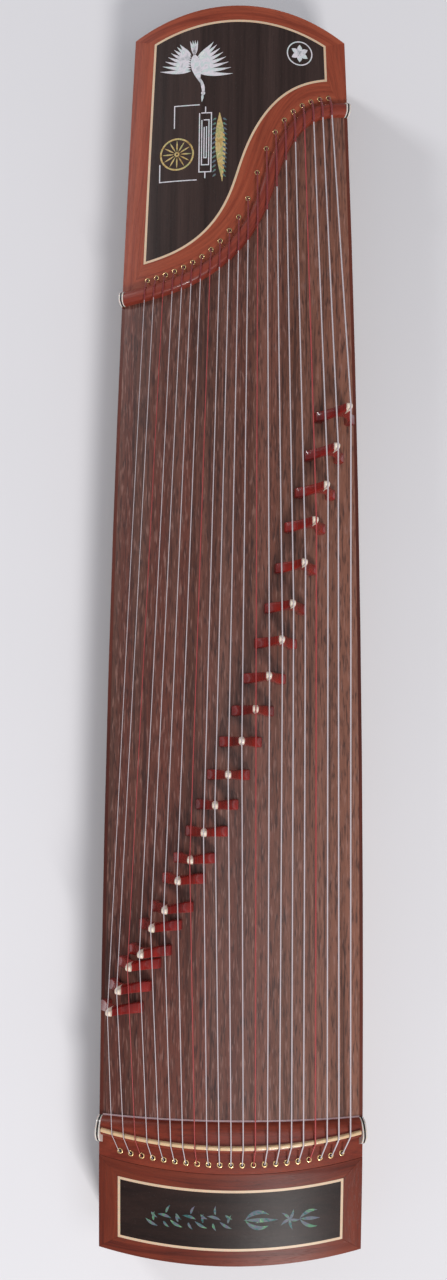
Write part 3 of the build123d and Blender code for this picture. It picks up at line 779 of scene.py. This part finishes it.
# ---- body -------------------------------------------------------------------------------------
def add_soundboard():
    """One grid over the whole board; behind the S curve it drops by the thickness of the tail's rails."""
    v = np.linspace(-1, 1, 141)
    start = np.full_like(v, -785.0)
    curve = np.full_like(v, -500.0)
    for _ in range(10):
        start = tail_arc_x(12.0, v * (half_width(start) - SIDE_LIP))
        curve = s_x(0.0, v * (half_width(curve) - SIDE_LIP))
    back = start + (curve - start) * np.linspace(0, 1, 14)[:, None]
    front = curve + (BORDER_X - curve) * np.linspace(0, 1, 70)[:, None]
    x = np.vstack((back, front))
    y = v * (half_width(x) - SIDE_LIP)
    lift = np.where(np.arange(len(x)) < len(back), -UNDER_VENEER, 0.0)[:, None]
    add_shells("soundboard_top", [(on_top(x, y, lift), on_top(x, y, -BOARD_T))], BOARD, slot="soundboard",
               replaces=["soundboard"])


def add_tail_end():
    """Rails mitred round the tail, a dark panel inside them and a cream line round the panel."""
    outer, line_out = tail_ring(0, 0, 0), tail_ring(*TAIL_RAILS)
    line_in = tail_ring(*(width + LINE_W for width in TAIL_RAILS))
    add_frame("tail_rails", outer, line_out, -VENEER_T, 0.0, 15, RAIL_WOOD, replaces=["tail_frame"], bevel=0.25)
    add_frame("tail_panel_line", line_out, line_in, -1.0, 0.12, 3, CREAM, slot="bone")
    panel = filled(tail_ring(*(width + 1 for width in TAIL_RAILS)), 60)
    add_shells("tail_panel_board", [slab(panel, -VENEER_T, 0.02)], PANEL_WOOD, slot="panel_wood",
               replaces=["tail_panel"])


def add_tail_nut():
    """Along the S curve a ridge with a flat back and a long front slope: b is the way back across it,
    c = (b / 19) ** 0.8 puts the crest towards the back, and lift = 10 (1 - |2c - 1| ** 3) ** (1/2)."""
    b = TAIL_NUT_W * (1 - np.cos(np.linspace(0, np.pi, 27))) / 2
    lift = TAIL_NUT_H * np.sqrt(np.maximum(1 - np.abs(2 * (b / TAIL_NUT_W) ** 0.8 - 1) ** 3, 0))
    plan = np.stack([s_run(back, 4.9, 420) for back in b], 1)
    add_shells("tail_nut_ridge", [(lifted(plan, lift + 0.02), lifted(plan, -0.6))], NUT_WOOD, [strip_uv(plan)],
               replaces=["tail_nut"], sharp=60)


def add_head():
    """The deck behind the strings' end, the nut on it, and the board that carries both. The nut's ramp
    is a quarter ellipse, lift = 0.2 + 8.5 (1 - (1 - t) ** 2) ** 0.5, and its back drops in six rows."""
    deck = np.stack([across_run(lambda y: BORDER_X + (bow_x(SEAM_X, y) - BORDER_X) * t, 0, 121)
                     for t in np.linspace(0, 1, 12)], 1)
    add_shells("head_deck", [slab(deck, -DECK_T, 0.0)], HEAD_WOOD, replaces=["head_block"], bevel=0.25)
    ramp = np.linspace(0, 1, 15) * 0.999
    plan = [across_run(lambda y: BORDER_X + (bow_x(668.0, y) - BORDER_X) * t, 4.9, 161) for t in ramp]
    lifts = [0.2 + NUT_H * math.sqrt(1 - (1 - t) ** 2) for t in ramp]
    for x, lift in ((670.0, 8.75), (676.0, 8.75), (678.0, 8.2), (680.0, 5.5), (681.4, 1.5), (681.8, 0.05)):
        plan.append(across_run(lambda y: bow_x(x, y), 4.9, 161))
        lifts.append(lift)
    plan, lifts = np.stack(plan, 1), np.array(lifts)
    add_shells("head_nut", [(lifted(plan, lifts), lifted(plan, -0.6))], HEAD_WOOD, sharp=50)
    y = np.linspace(-1, 1, 41)[:, None] * (half_width(650) - 12)
    x = np.array([[BORDER_X, BORDER_X + 12]])
    top = on_top(x, y, -DECK_T)
    bottom = top.copy()
    bottom[..., 2] = BACK_TOP_Z / 1000
    add_shells("head_bulkhead", [(top, bottom)], INNER_WOOD)
    edges = BORDER_X - 1.9, BORDER_X + 0.1
    line = np.stack([across_run(lambda y: x + 0 * y, SIDE_LIP, 121) for x in edges], 1)
    add_shells("head_line", [slab(line, -1.0, 0.14)], PINK_LINE, slot="bone")


def add_saddle():
    """A bone strip, its top rounded by (1 - |t| ** 4) ** 0.5, with a nick 0.6 deep under each string."""
    y = np.concatenate([string_y(n, SADDLE_PITCH) + np.linspace(-7.1, 7.1, 14)[:-1] for n in NUMBERS])
    y = np.concatenate(([-156.0, -152.5], y, [152.5, 156.0]))
    places = string_y(np.array(NUMBERS), SADDLE_PITCH)
    nick = np.exp(-(np.abs(y[:, None] - places).min(1) / 1.1) ** 2)
    t = np.linspace(-1, 1, 9)
    x = bow_x(SADDLE_X, y)[:, None] + 2.5 * t
    lift = SADDLE_H + 0.35 - 3.0 * (1 - np.sqrt(np.maximum(1 - t**4, 0))) - 0.6 * nick[:, None]
    top, bottom = (on_top(x, y[:, None], height) for height in (lift, 4.0))
    piece = add_shells("bone_strip", [(top, bottom)], NICK_SHADED_BONE, slot="bone", replaces=["saddle"], sharp=50)
    mark = np.repeat(nick, len(t))
    layer = piece.data.attributes.new("nick", "FLOAT", "POINT")
    layer.data.foreach_set("value", np.r_[mark, mark].astype(np.float32))


def make_nick_shaded_bone():
    """Bone darkened where a string has cut into it: painted shade in each nick."""
    material = SADDLE_BONE.copy()
    material.name = "nicked bone"
    g = Graph(material.node_tree)
    socket = material.node_tree.nodes["Principled BSDF"].inputs["Base Color"]
    plain = socket.links[0].from_socket
    nick = g.node("ShaderNodeAttribute", attribute_name="nick").outputs["Fac"]
    # painted shade: each nick is darkened towards a dark brown
    g.feed(socket, g.mix(g.maths("MULTIPLY", nick, 0.75), plain, rgba(74, 48, 34)))
    return material


NICK_SHADED_BONE = make_nick_shaded_bone()


def add_end_plates():
    """White, black and white plates with rounded corners, standing on the arch at the ends of both nuts."""
    head = eased([(-17, -0.3), (-17, 1.2), (-13, 7.0), (-4, 11.0), (5, 11.8), (12, 8.0), (15, -0.3)], 3.0)
    tail = eased([(-9.8, -0.3), (-9.8, 4.5), (-5, 10.6), (5, 10.6), (9.8, 4.5), (9.8, -0.3)], 3.0)
    white, black = [], []
    for x, side, outline in ((662.0, -1, head), (662.0, 1, head), (-405.0, -1, tail), (-676.0, 1, tail)):
        for ply in range(PLIES):
            y = side * (half_width(x) + PLY_T * (ply - 2))
            origin, along, across, outward = frame_at(x, y)
            ring = origin + (outline[:, :1] * along + outline[:, 1:] * outward) / 1000
            shift = across * np.array([-0.5, 0.5])[:, None] * PLY_T / 1000
            (black if ply == 1 else white).append(ring[None] + shift[:, None])
    add_lofts("end_plates_white", white, WHITE_PLY, slot="cap_plates", replaces=["end_caps"], bevel=0.3)
    add_lofts("end_plates_black", black, BLACK_PLY, slot="cap_plates", bevel=0.15)


def eyelet_places():
    """x and y of every eyelet, first the tail's and then the head's."""
    for number in NUMBERS:
        y = string_y(number, TAIL_PITCH)
        yield float(s_x(TAIL_EYELET_OFF, y)), y
    for number in NUMBERS:
        y = string_y(number, HEAD_PITCH)
        yield float(bow_x(HEAD_EYELET_X, y)), y


def add_eyelets():
    """Brass rings: a rounded rim turned about the arch's normal, over a dark disc that is painted shade in the
    hole.
    """
    rim = np.array([(1.9, -0.5), (1.9, 0.15), (2.1, 0.6), (2.6, 0.86), (3.2, 0.76), (3.7, 0.36), (3.8, -0.5)])
    turn = np.linspace(0, 2 * np.pi, 28, endpoint=False)
    rings, holes, faces, start = [], [], [], 0
    for x, y in eyelet_places():
        origin, along, across, outward = frame_at(x, y)
        circle = np.cos(turn)[:, None] * along + np.sin(turn)[:, None] * across
        rings.append(origin + (rim[:, 0][:, None, None] * circle + rim[:, 1][:, None, None] * outward) / 1000)
        faces.append(grid_quads(len(rim), len(turn), start, wrap_rows=True, wrap_columns=True))
        start += len(rim) * len(turn)
        # a dark disc just above the arch: painted shade for the eyelet's hole
        holes.append(origin + (1.92 * circle + np.array([-0.4, 0.05])[:, None, None] * outward) / 1000)
    add_piece("eyelet_rings", np.concatenate(rings), np.vstack(faces), BRASS, slot="brass",
              replaces=["eyelets"], sharp=60)
    add_lofts("eyelet_holes", holes, HOLE, slot="inner_wood")


# ---- strings ----------------------------------------------------------------------------------
def string_corners(number):
    """Knot, tail eyelet, tail nut, bridge tip, bone strip, head eyelet, below the deck, pin."""
    radius = blended(STRING_R, number)
    y = string_y(number, TAIL_PITCH)
    eyelet = float(s_x(TAIL_EYELET_OFF, y)), y
    over = EYELET_FLANGE + 2.1
    nut = on_top(s_x(NUT_BEND_OFF, y), y, TAIL_NUT_H + radius + WRAP_T + 0.1)
    height = blended(BRIDGE_H, number) + TIP_H
    tip = on_top(BRIDGE_X[number - 1], BRIDGE_Y[number - 1], height + radius + 0.1)
    y = string_y(number, SADDLE_PITCH)
    bone = on_top(bow_x(SADDLE_X + 1.3, y), y, SADDLE_H + radius + 0.05)
    y = string_y(number, HEAD_PITCH)
    hole = float(bow_x(HEAD_EYELET_X, y)), y
    x, y = PIN_XY[number - 1]
    coil = np.array([x, y + PIN_R + 0.3 + radius, COIL_Z]) / 1000
    return [on_top(*eyelet, -11.5), on_top(*eyelet, over), nut, tip, bone, on_top(*hole, over),
            on_top(*hole, -25.0), coil]


def densely(path, most):
    """The path with its longer runs divided into equal steps of at most this many metres."""
    parts = [path[:1]]
    for a, b in zip(path[:-1], path[1:]):
        steps = max(1, math.ceil(np.linalg.norm(b - a) / most))
        parts.append(a + (b - a) * np.linspace(0, 1, steps + 1)[1:, None])
    return np.vstack(parts)


def add_strings():
    """Round wound strings; each meets its bridge's tip, where it is made in two pieces."""
    for number in NUMBERS:
        radius = blended(STRING_R, number) / 1000
        corners = string_corners(number)
        bridge = f"bridge_{number:02d}"
        material = RED_STRING if number in RED_STRINGS else WHITE_STRING
        runs = {"tail": (corners[:4], "body", bridge, corners[2], corners[3]),
                "head": (corners[3:], bridge, "body", corners[3], corners[4])}
        for part, (points, first, second, start, end) in runs.items():
            path = densely(eased(points, 0.002), 0.06)
            rings = tube_rings(path, radius, 8, (0.0, 1.0, 0.03))
            piece = add_lofts(f"string_{number:02d}_{part}", [rings], material, [tube_uv(path, 8)],
                              slot="string", replaces=["strings"], ride=False, sharp=70)
            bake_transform(piece)


def add_coils():
    """Each string's end wound round its pin: a helix, 3.5 turns, rising by its own thickness a turn."""
    turn = np.linspace(0, 7 * np.pi, 71)
    whites = [number for number in NUMBERS if number not in RED_STRINGS]
    for name, numbers, material in (("white", whites, WHITE_STRING), ("red", RED_STRINGS, RED_STRING)):
        lofts, uvs = [], []
        for number in numbers:
            radius = blended(STRING_R, number)
            x, y = PIN_XY[number - 1]
            around = PIN_R + 0.25 + radius
            height = COIL_Z + turn / (2 * np.pi) * 2.05 * radius - 3.5 * radius
            path = np.stack((x + around * np.sin(turn), y + around * np.cos(turn), height), -1) / 1000
            lofts.append(tube_rings(path, radius / 1000, 8, (0.0, 0.0, 1.0)))
            uvs.append(tube_uv(path, 8))
        add_lofts(f"string_coils_{name}", lofts, material, uvs, slot="string", sharp=70)


def add_silk():
    """Silk bound round every string from inside its eyelet over the tail nut, a little thicker at its end."""
    lofts, uvs = [], []
    for number in NUMBERS:
        radius = blended(STRING_R, number)
        knot, eyelet, nut, tip = string_corners(number)[:4]
        y = string_y(number, TAIL_PITCH)
        share = (float(s_x(WRAP_END, y)) / 1000 - nut[0]) / (tip[0] - nut[0])
        end = nut + (tip - nut) * share
        path = densely(eased([eyelet + (knot - eyelet) * 0.35, eyelet, nut, end], 0.002), 0.004)
        thick = np.full(len(path), radius + WRAP_T - 0.02)
        thick[[0, -1]] -= 0.25
        thick[-2] += 0.12
        lofts.append(tube_rings(path, thick / 1000, 10, (0.0, 1.0, 0.03)))
        uvs.append(tube_uv(path, 10))
    add_lofts("silk_wraps", lofts, SILK, uvs, slot="silk", replaces=["string_wraps"], sharp=70)


# ---- bridges and pins -------------------------------------------------------------------------
def local_points(number, x, y, z):
    """Points by x along, y across and z square to the arch under one bridge."""
    origin, along, across, outward = frame_at(BRIDGE_X[number - 1], BRIDGE_Y[number - 1])
    return origin + (x[..., None] * along + y[..., None] * across + z[..., None] * outward) / 1000


def bridge_curves(height):
    """The outer flanks over the top, and the opening under them, each from foot to foot as y and z."""
    t = np.linspace(0, 1, 25)[:, None]
    flank = (1 - t) ** 3 * (26.4, 8.0) + 3 * (1 - t) ** 2 * t * (16.5, 15.0) \
        + 3 * (1 - t) * t**2 * (10.0, 0.62 * height) + t**3 * (4.2, height)
    outer = np.vstack(((27.0, 0.3), (27.0, 3.0), (26.9, 6.0), flank))
    turn = np.linspace(0, np.pi / 2, len(outer) - 1)[:, None]
    inner = np.hstack((15.0 * np.cos(turn), 0.3 + 0.48 * height * np.sin(turn)))
    inner = np.vstack((inner[:1], inner))
    mirror = np.array([-1.0, 1.0])
    return [np.vstack((half, (half * mirror)[::-1])) for half in (outer, inner)]


def half_thickness(z, height):
    """A bridge is 14 thick at its feet and 9.4 at its top."""
    foot, top = 7.0, 4.7
    return foot - (foot - top) * np.clip((z - 3) / (height - 3), 0, 1)


# A bone tip's rings: up from the wood's top, half width b, how much thinner than the wood, power n.
TIP_RINGS = (
    (-15, 0.25, 0.1, 6), (-8, 1.7, 0.1, 6), (-1, 3.4, 0.1, 6), (0.5, 3.7, 0.7, 4),
    (2.6, 3.7, 1.2, 3), (4.0, 3.3, 1.8, 2.5), (4.8, 2.5, 2.6, 2.3), (5.1, 1.3, 3.7, 2.2),
)


def add_bridges():
    """A grid from flank to opening, front and back, each face pillowed by 1 - 0.2 t ** 4; the bone tip is
    a wedge let into it, its rings |x / a| ** n + |y / b| ** n = 1 with n from 6 in the wood to 2.2 on top."""
    turn = np.linspace(0, 2 * np.pi, 28, endpoint=False)
    for number in NUMBERS:
        height = blended(BRIDGE_H, number)
        outer, inner = bridge_curves(height)
        t = np.linspace(-1, 1, 11)
        share = (1 + t[:, None]) / 2
        y = outer[:, 0] * (1 - share) + inner[:, 0] * share
        z = outer[:, 1] * (1 - share) + inner[:, 1] * share
        half = half_thickness(z, height) * (1 - 0.2 * t[:, None] ** 4)
        z = z - y**2 / (2 * ARCH_R) * np.clip(1 - z / 6.0, 0, 1)
        front, back = local_points(number, half, y, z), local_points(number, -half, y, z)
        along = np.stack((z + 60.0 * number, y * 0.5), -1) / 1000
        body = f"bridge_{number:02d}"
        add_shells(f"{body}_wood", [(front, back)], BRIDGE_WOOD, [along], body=body, slot="bridge_wood",
                   replaces=[body], sharp=60, bevel=0.3)
        rings = []
        for up, b, thinner, n in TIP_RINGS:
            a = half_thickness(height + up, height) + 0.12 - thinner
            swell = (np.abs(np.cos(turn)) ** n + np.abs(np.sin(turn)) ** n) ** (-1 / n)
            x, y = a * swell * np.cos(turn), b * swell * np.sin(turn)
            groove = 0.45 * np.exp(-(y / 0.9) ** 2) * max(up - 3, 0) / 2
            rings.append(local_points(number, x, y, np.full_like(x, height + up) - groove))
        add_lofts(f"{body}_tip", [np.array(rings)], BONE, body=body, slot="bone", sharp=50)


def add_pins():
    """A round shank that turns square: its rings blend a circle into 1.7 / max(|cos a|, |sin a|)."""
    turn = np.linspace(0, 2 * np.pi, 24, endpoint=False) + np.pi / 24
    square = PIN_HALF_SQUARE / np.maximum(np.abs(np.cos(turn)), np.abs(np.sin(turn)))
    stations = (  # height, how square, radius
        (33.0, 0, 2.3), (33.4, 0, PIN_R), (63.0, 0, PIN_R), (66.0, 0, PIN_R), (68.0, 0.9, PIN_R),
        (69.0, 1, PIN_R), (77.0, 1, PIN_R), (77.7, 0.94, 2.2), (78.0, 0.8, 1.7),
    )
    for number in NUMBERS:
        x, y = PIN_XY[number - 1]
        rings = []
        for z, squareness, r in stations:
            away = square * squareness * (1.0 if z < 77.5 else r / PIN_R) + r * (1 - squareness)
            ring = x + away * np.cos(turn), y + away * np.sin(turn), np.full_like(turn, z)
            rings.append(np.stack(ring, -1))
        body = f"tuning_pin_{number:02d}"
        add_lofts(f"{body}_shank", [np.array(rings) / 1000], NICKEL, body=body, slot="pin_steel",
                  replaces=[body], sharp=40)


# ---- lid --------------------------------------------------------------------------------------
def add_lid():
    """A base, four mitred rails on it, a dark panel inside a cream line, and a ledge under each side."""
    start, side, end = LID_PANEL
    outer, line_out = lid_ring(LID_START, 0, LID_END), lid_ring(start, side, end)
    line_in = lid_ring(start + LINE_W, side + LINE_W, end - LINE_W)
    base, panel = filled(outer, 30), filled(lid_ring(start + 1, side + 1, end - 1), 30)
    add_shells("lid_base", [slab(base, -LID_T, -UNDER_VENEER)], LID_WOOD, [strip_uv(base)], body="lid",
               replaces=["lid_frame"])
    add_frame("lid_rails", outer, line_out, -UNDER_VENEER, 0.0, 13, LID_WOOD, body="lid", bevel=0.25)
    add_frame("lid_panel_line", line_out, line_in, -1.0, 0.12, 3, CREAM, body="lid", slot="bone")
    add_shells("lid_panel_board", [slab(panel, -VENEER_T, 0.02)], LID_PANEL_WOOD, body="lid", slot="panel_wood",
               replaces=["lid_panel"])
    ledges = [ruled(*(side_run(720, 790, side, inset, 24) for inset in (12.5, 19.5)), 3) for side in (-1, 1)]
    add_shells("lid_ledges", [slab(plan, -LID_T - 7.0, -LID_T) for plan in ledges], PIN_WOOD, body="lid")


# ---- inlays -----------------------------------------------------------------------------------
def leaf(x, y, angle, length, width, bend=0.0, point=0.7, count=11):
    """Plan grid of a leaf: a line that turns by bend from its foot, width * sin(pi * t ** point) wide."""
    t = np.linspace(0, 1, count)
    heading = angle + bend * t
    steps = np.stack((np.cos(heading[:-1]), np.sin(heading[:-1])), -1) * length / (count - 1)
    line = np.vstack(((0.0, 0.0), np.cumsum(steps, 0))) + (x, y)
    side = np.stack((-np.sin(heading), np.cos(heading)), -1)
    half = width / 2 * np.maximum(np.sin(np.pi * t**point), 0.05)
    return line[:, None] + side[:, None] * (half[:, None] * np.linspace(-1, 1, 5))[..., None]


def round_band(x, y, inner, outer, count=49):
    """Plan grid of a flat ring."""
    turn = np.linspace(0, 2 * np.pi, count)
    circle = np.stack((np.cos(turn), np.sin(turn)), -1)
    return np.array((x, y)) + circle[:, None] * np.linspace(inner, outer, 3)[None, :, None]


def ribbon(points, width, most=6.0):
    """Plan grid of a line of even width through corners, mitred at each."""
    points = np.asarray(points, float)
    ahead = np.diff(points, axis=0)
    ahead /= np.linalg.norm(ahead, axis=1, keepdims=True)
    normal = np.stack((-ahead[:, 1], ahead[:, 0]), -1)
    mitre = np.vstack((normal[:1], normal[:-1] + normal[1:], normal[-1:]))
    mitre /= np.maximum((mitre * np.vstack((normal[:1], normal))).sum(1, keepdims=True), 0.3)
    edges = np.stack([points + mitre * width * k for k in (-0.5, 0.0, 0.5)], 1)
    rows = [edges[:1]]
    for a, b in zip(edges[:-1], edges[1:]):
        steps = max(1, math.ceil(np.linalg.norm(b[1] - a[1]) / most))
        rows.append(a + (b - a) * np.linspace(0, 1, steps + 1)[1:, None, None])
    return np.vstack(rows)


def rosette(x, y, radius, count):
    """Petals between a small centre and an outer ring."""
    turns = np.linspace(0, 2 * np.pi, count, endpoint=False)
    petals = [leaf(x + 0.16 * radius * math.cos(a), y + 0.16 * radius * math.sin(a), a, 0.7 * radius,
                   0.09 * radius, point=1.0, count=7) for a in turns]
    return petals + [round_band(x, y, 0.9 * radius, radius), round_band(x, y, 0.06 * radius, 0.15 * radius)]


def crane(x, y, size):
    """A bird on the wing, head towards the body's head end: feathers are leaves in two fans."""
    def at(dx, dy):
        return x + dx * size, y + dy * size
    parts = [leaf(*at(-0.16, 0.0), 0.1, 0.46 * size, 0.15 * size, 0.2)]
    parts += [leaf(*at(0.2, 0.07), 0.5, 0.34 * size, 0.05 * size, -0.7, point=1.0)]
    parts += [leaf(*at(0.47, 0.13), -0.1, 0.13 * size, 0.035 * size)]
    parts += [round_band(*at(0.46, 0.135), 0.002 * size, 0.03 * size, 17)]
    for k in range(8):
        near, far = at(0.13 - 0.035 * k, 0.05), at(0.1 - 0.035 * k, -0.05)
        parts.append(leaf(*near, 1.35 + 0.12 * k, (0.52 - 0.028 * k) * size, 0.062 * size, 0.35))
        parts.append(leaf(*far, -1.5 - 0.11 * k, (0.46 - 0.03 * k) * size, 0.06 * size, -0.3))
    parts += [leaf(*at(-0.14, 0.0), 2.9 + 0.16 * k, 0.24 * size, 0.045 * size, 0.1) for k in range(4)]
    return parts


def fret(x, y, length, width, line):
    """Nested open frames, as on a lattice screen."""
    parts = []
    for k in range(3):
        dx, dy = length / 2 - 10.0 * k, width / 2 - 3.2 * k
        parts.append(ribbon([(x - dx, y - dy), (x + dx, y - dy), (x + dx, y + dy), (x - dx, y + dy),
                             (x - dx, y - dy + 2.4)], line))
    parts += [ribbon([(x + s * length / 2, y), (x + s * (length / 2 + 9), y)], line) for s in (-1, 1)]
    return parts


def add_inlay(name, plans, material, body="body"):
    """Flat leaves and lines that stand a little proud of their panel."""
    add_shells(name, [slab(plan, -0.6, 0.16) for plan in plans], material, body=body, slot="bone", sharp=50)


def add_tail_inlays():
    """A crane, a lattice, a rosette and a long leaf, with a small round flower across from them."""
    pearl = crane(-731, -62, 92) + fret(-618, -46, 84, 16, 1.4)
    pearl += [ribbon([(-672, -54), (-672, -88), (-640, -88)], 1.4)]
    pearl += [ribbon([(-590, -107), (-565, -107), (-565, -57)], 1.4)]
    add_inlay("tail_inlay_pearl", pearl, PEARL)
    gold = rosette(-603, -84, 23, 12) + [leaf(-660, -27, 0.02, 98, 13.5, 0.05, point=0.9, count=21)]
    add_inlay("tail_inlay_gold", gold, GOLD_SHELL)
    edge = [leaf(-652 + 6.6 * k, -27 + side * 4.4, side * (1.05 - 0.02 * k), 8.5 - abs(k - 6) * 0.35, 2.6)
            for k in range(13) for side in (-1, 1)]
    add_inlay("tail_inlay_leaf_edge", edge, ABALONE)
    flower = [leaf(-750, 81, a, 12.5, 7.0, point=1.0) for a in np.linspace(0, 2 * np.pi, 6, endpoint=False)]
    add_inlay("tail_inlay_flower", flower + [round_band(-750, 81, 16, 17.6)], PEARL)


def add_lid_inlays():
    """Scrolls and sprays in a row along the panel's middle."""
    parts = []
    for k, y in enumerate(np.linspace(-96, -6, 7)):
        sway = 5.0 * (-1) ** k
        parts += [leaf(759 + sway * 0.6, y - 7, 1.2 - 0.35 * (-1) ** k, 17, 3.6, 0.5 * (-1) ** k, point=1.0),
                  leaf(759 - sway, y, 0.3 + random.uniform(-0.4, 0.4), 10, 3.0, 0.8),
                  leaf(759 + sway, y + 3, 3.3 + random.uniform(-0.4, 0.4), 11, 2.8, -0.7)]
    parts += [leaf(760, 18, s * 0.9 + math.pi / 2, 32, 5.2, -s * 1.5, point=1.0) for s in (-1, 1)]
    parts += [leaf(760, 16, math.pi / 2, 42, 5.0, point=1.0), leaf(760, 50, -math.pi / 2, 20, 3.6, 0.4)]
    parts += [leaf(760, 72, a, 13, 3.4, 0.6) for a in np.linspace(0, 2 * np.pi, 5, endpoint=False)]
    parts += [leaf(760, 84, math.pi / 2 + a, 25, 4.2, -a * 1.2, point=1.0) for a in (-0.9, 0.0, 0.9)]
    add_inlay("lid_inlay", parts, ABALONE, body="lid")


# ---- making it --------------------------------------------------------------------------------
set_camera()
for add in (add_soundboard, add_tail_end, add_tail_nut, add_head, add_saddle, add_end_plates, add_eyelets,
            add_strings, add_coils, add_silk, add_bridges, add_pins, add_lid, add_tail_inlays, add_lid_inlays):
    add()
finish_nodes(SIDE_WOOD, "side_boards", "end_boards")
finish_nodes(INNER_WOOD, "back_board", "braces")
finish_nodes(FOOT_WOOD, "feet")
finish_nodes(PIN_WOOD, "pin_block")


def add_floor():
    """A level sheet of squares under the feet."""
    across = np.linspace(-4, 4, 9)
    x, y = np.meshgrid(across, across, indexing="ij")
    mesh = bpy.data.meshes.new("floor")
    corners = np.stack((x, y, 0 * x), -1).reshape(-1, 3)
    mesh.from_pydata(corners.tolist(), [], grid_quads(9, 9)[:, ::-1].tolist())
    mesh.materials.append(make_floor())
    floor = bpy.data.objects.new("floor", mesh)
    scene.collection.objects.link(floor)


add_floor()
add_softbox("main softbox", (5.2, 1.7, 4.4), (0, 0, 0.1), (1.4, 1.4), 360.0, (1.0, 0.985, 0.97))
add_softbox("fill softbox", (-3.4, -4.0, 2.8), (-0.2, 0, 0.1), (1.2, 1.2), 115.0, (0.97, 0.98, 1.0))
add_softbox("overhead sheen", (0.68, 0.6, 2.6), (0.68, 0.6, 0.1), (1.1, 1.8), 16.0, (0.97, 0.97, 1.0))
world = bpy.data.worlds.new("studio")
world.use_nodes = True
world.node_tree.nodes["Background"].inputs["Color"].default_value = (0.94, 0.95, 1.0, 1.0)
world.node_tree.nodes["Background"].inputs["Strength"].default_value = 0.34
scene.world = world
scene.view_settings.view_transform = "Standard"
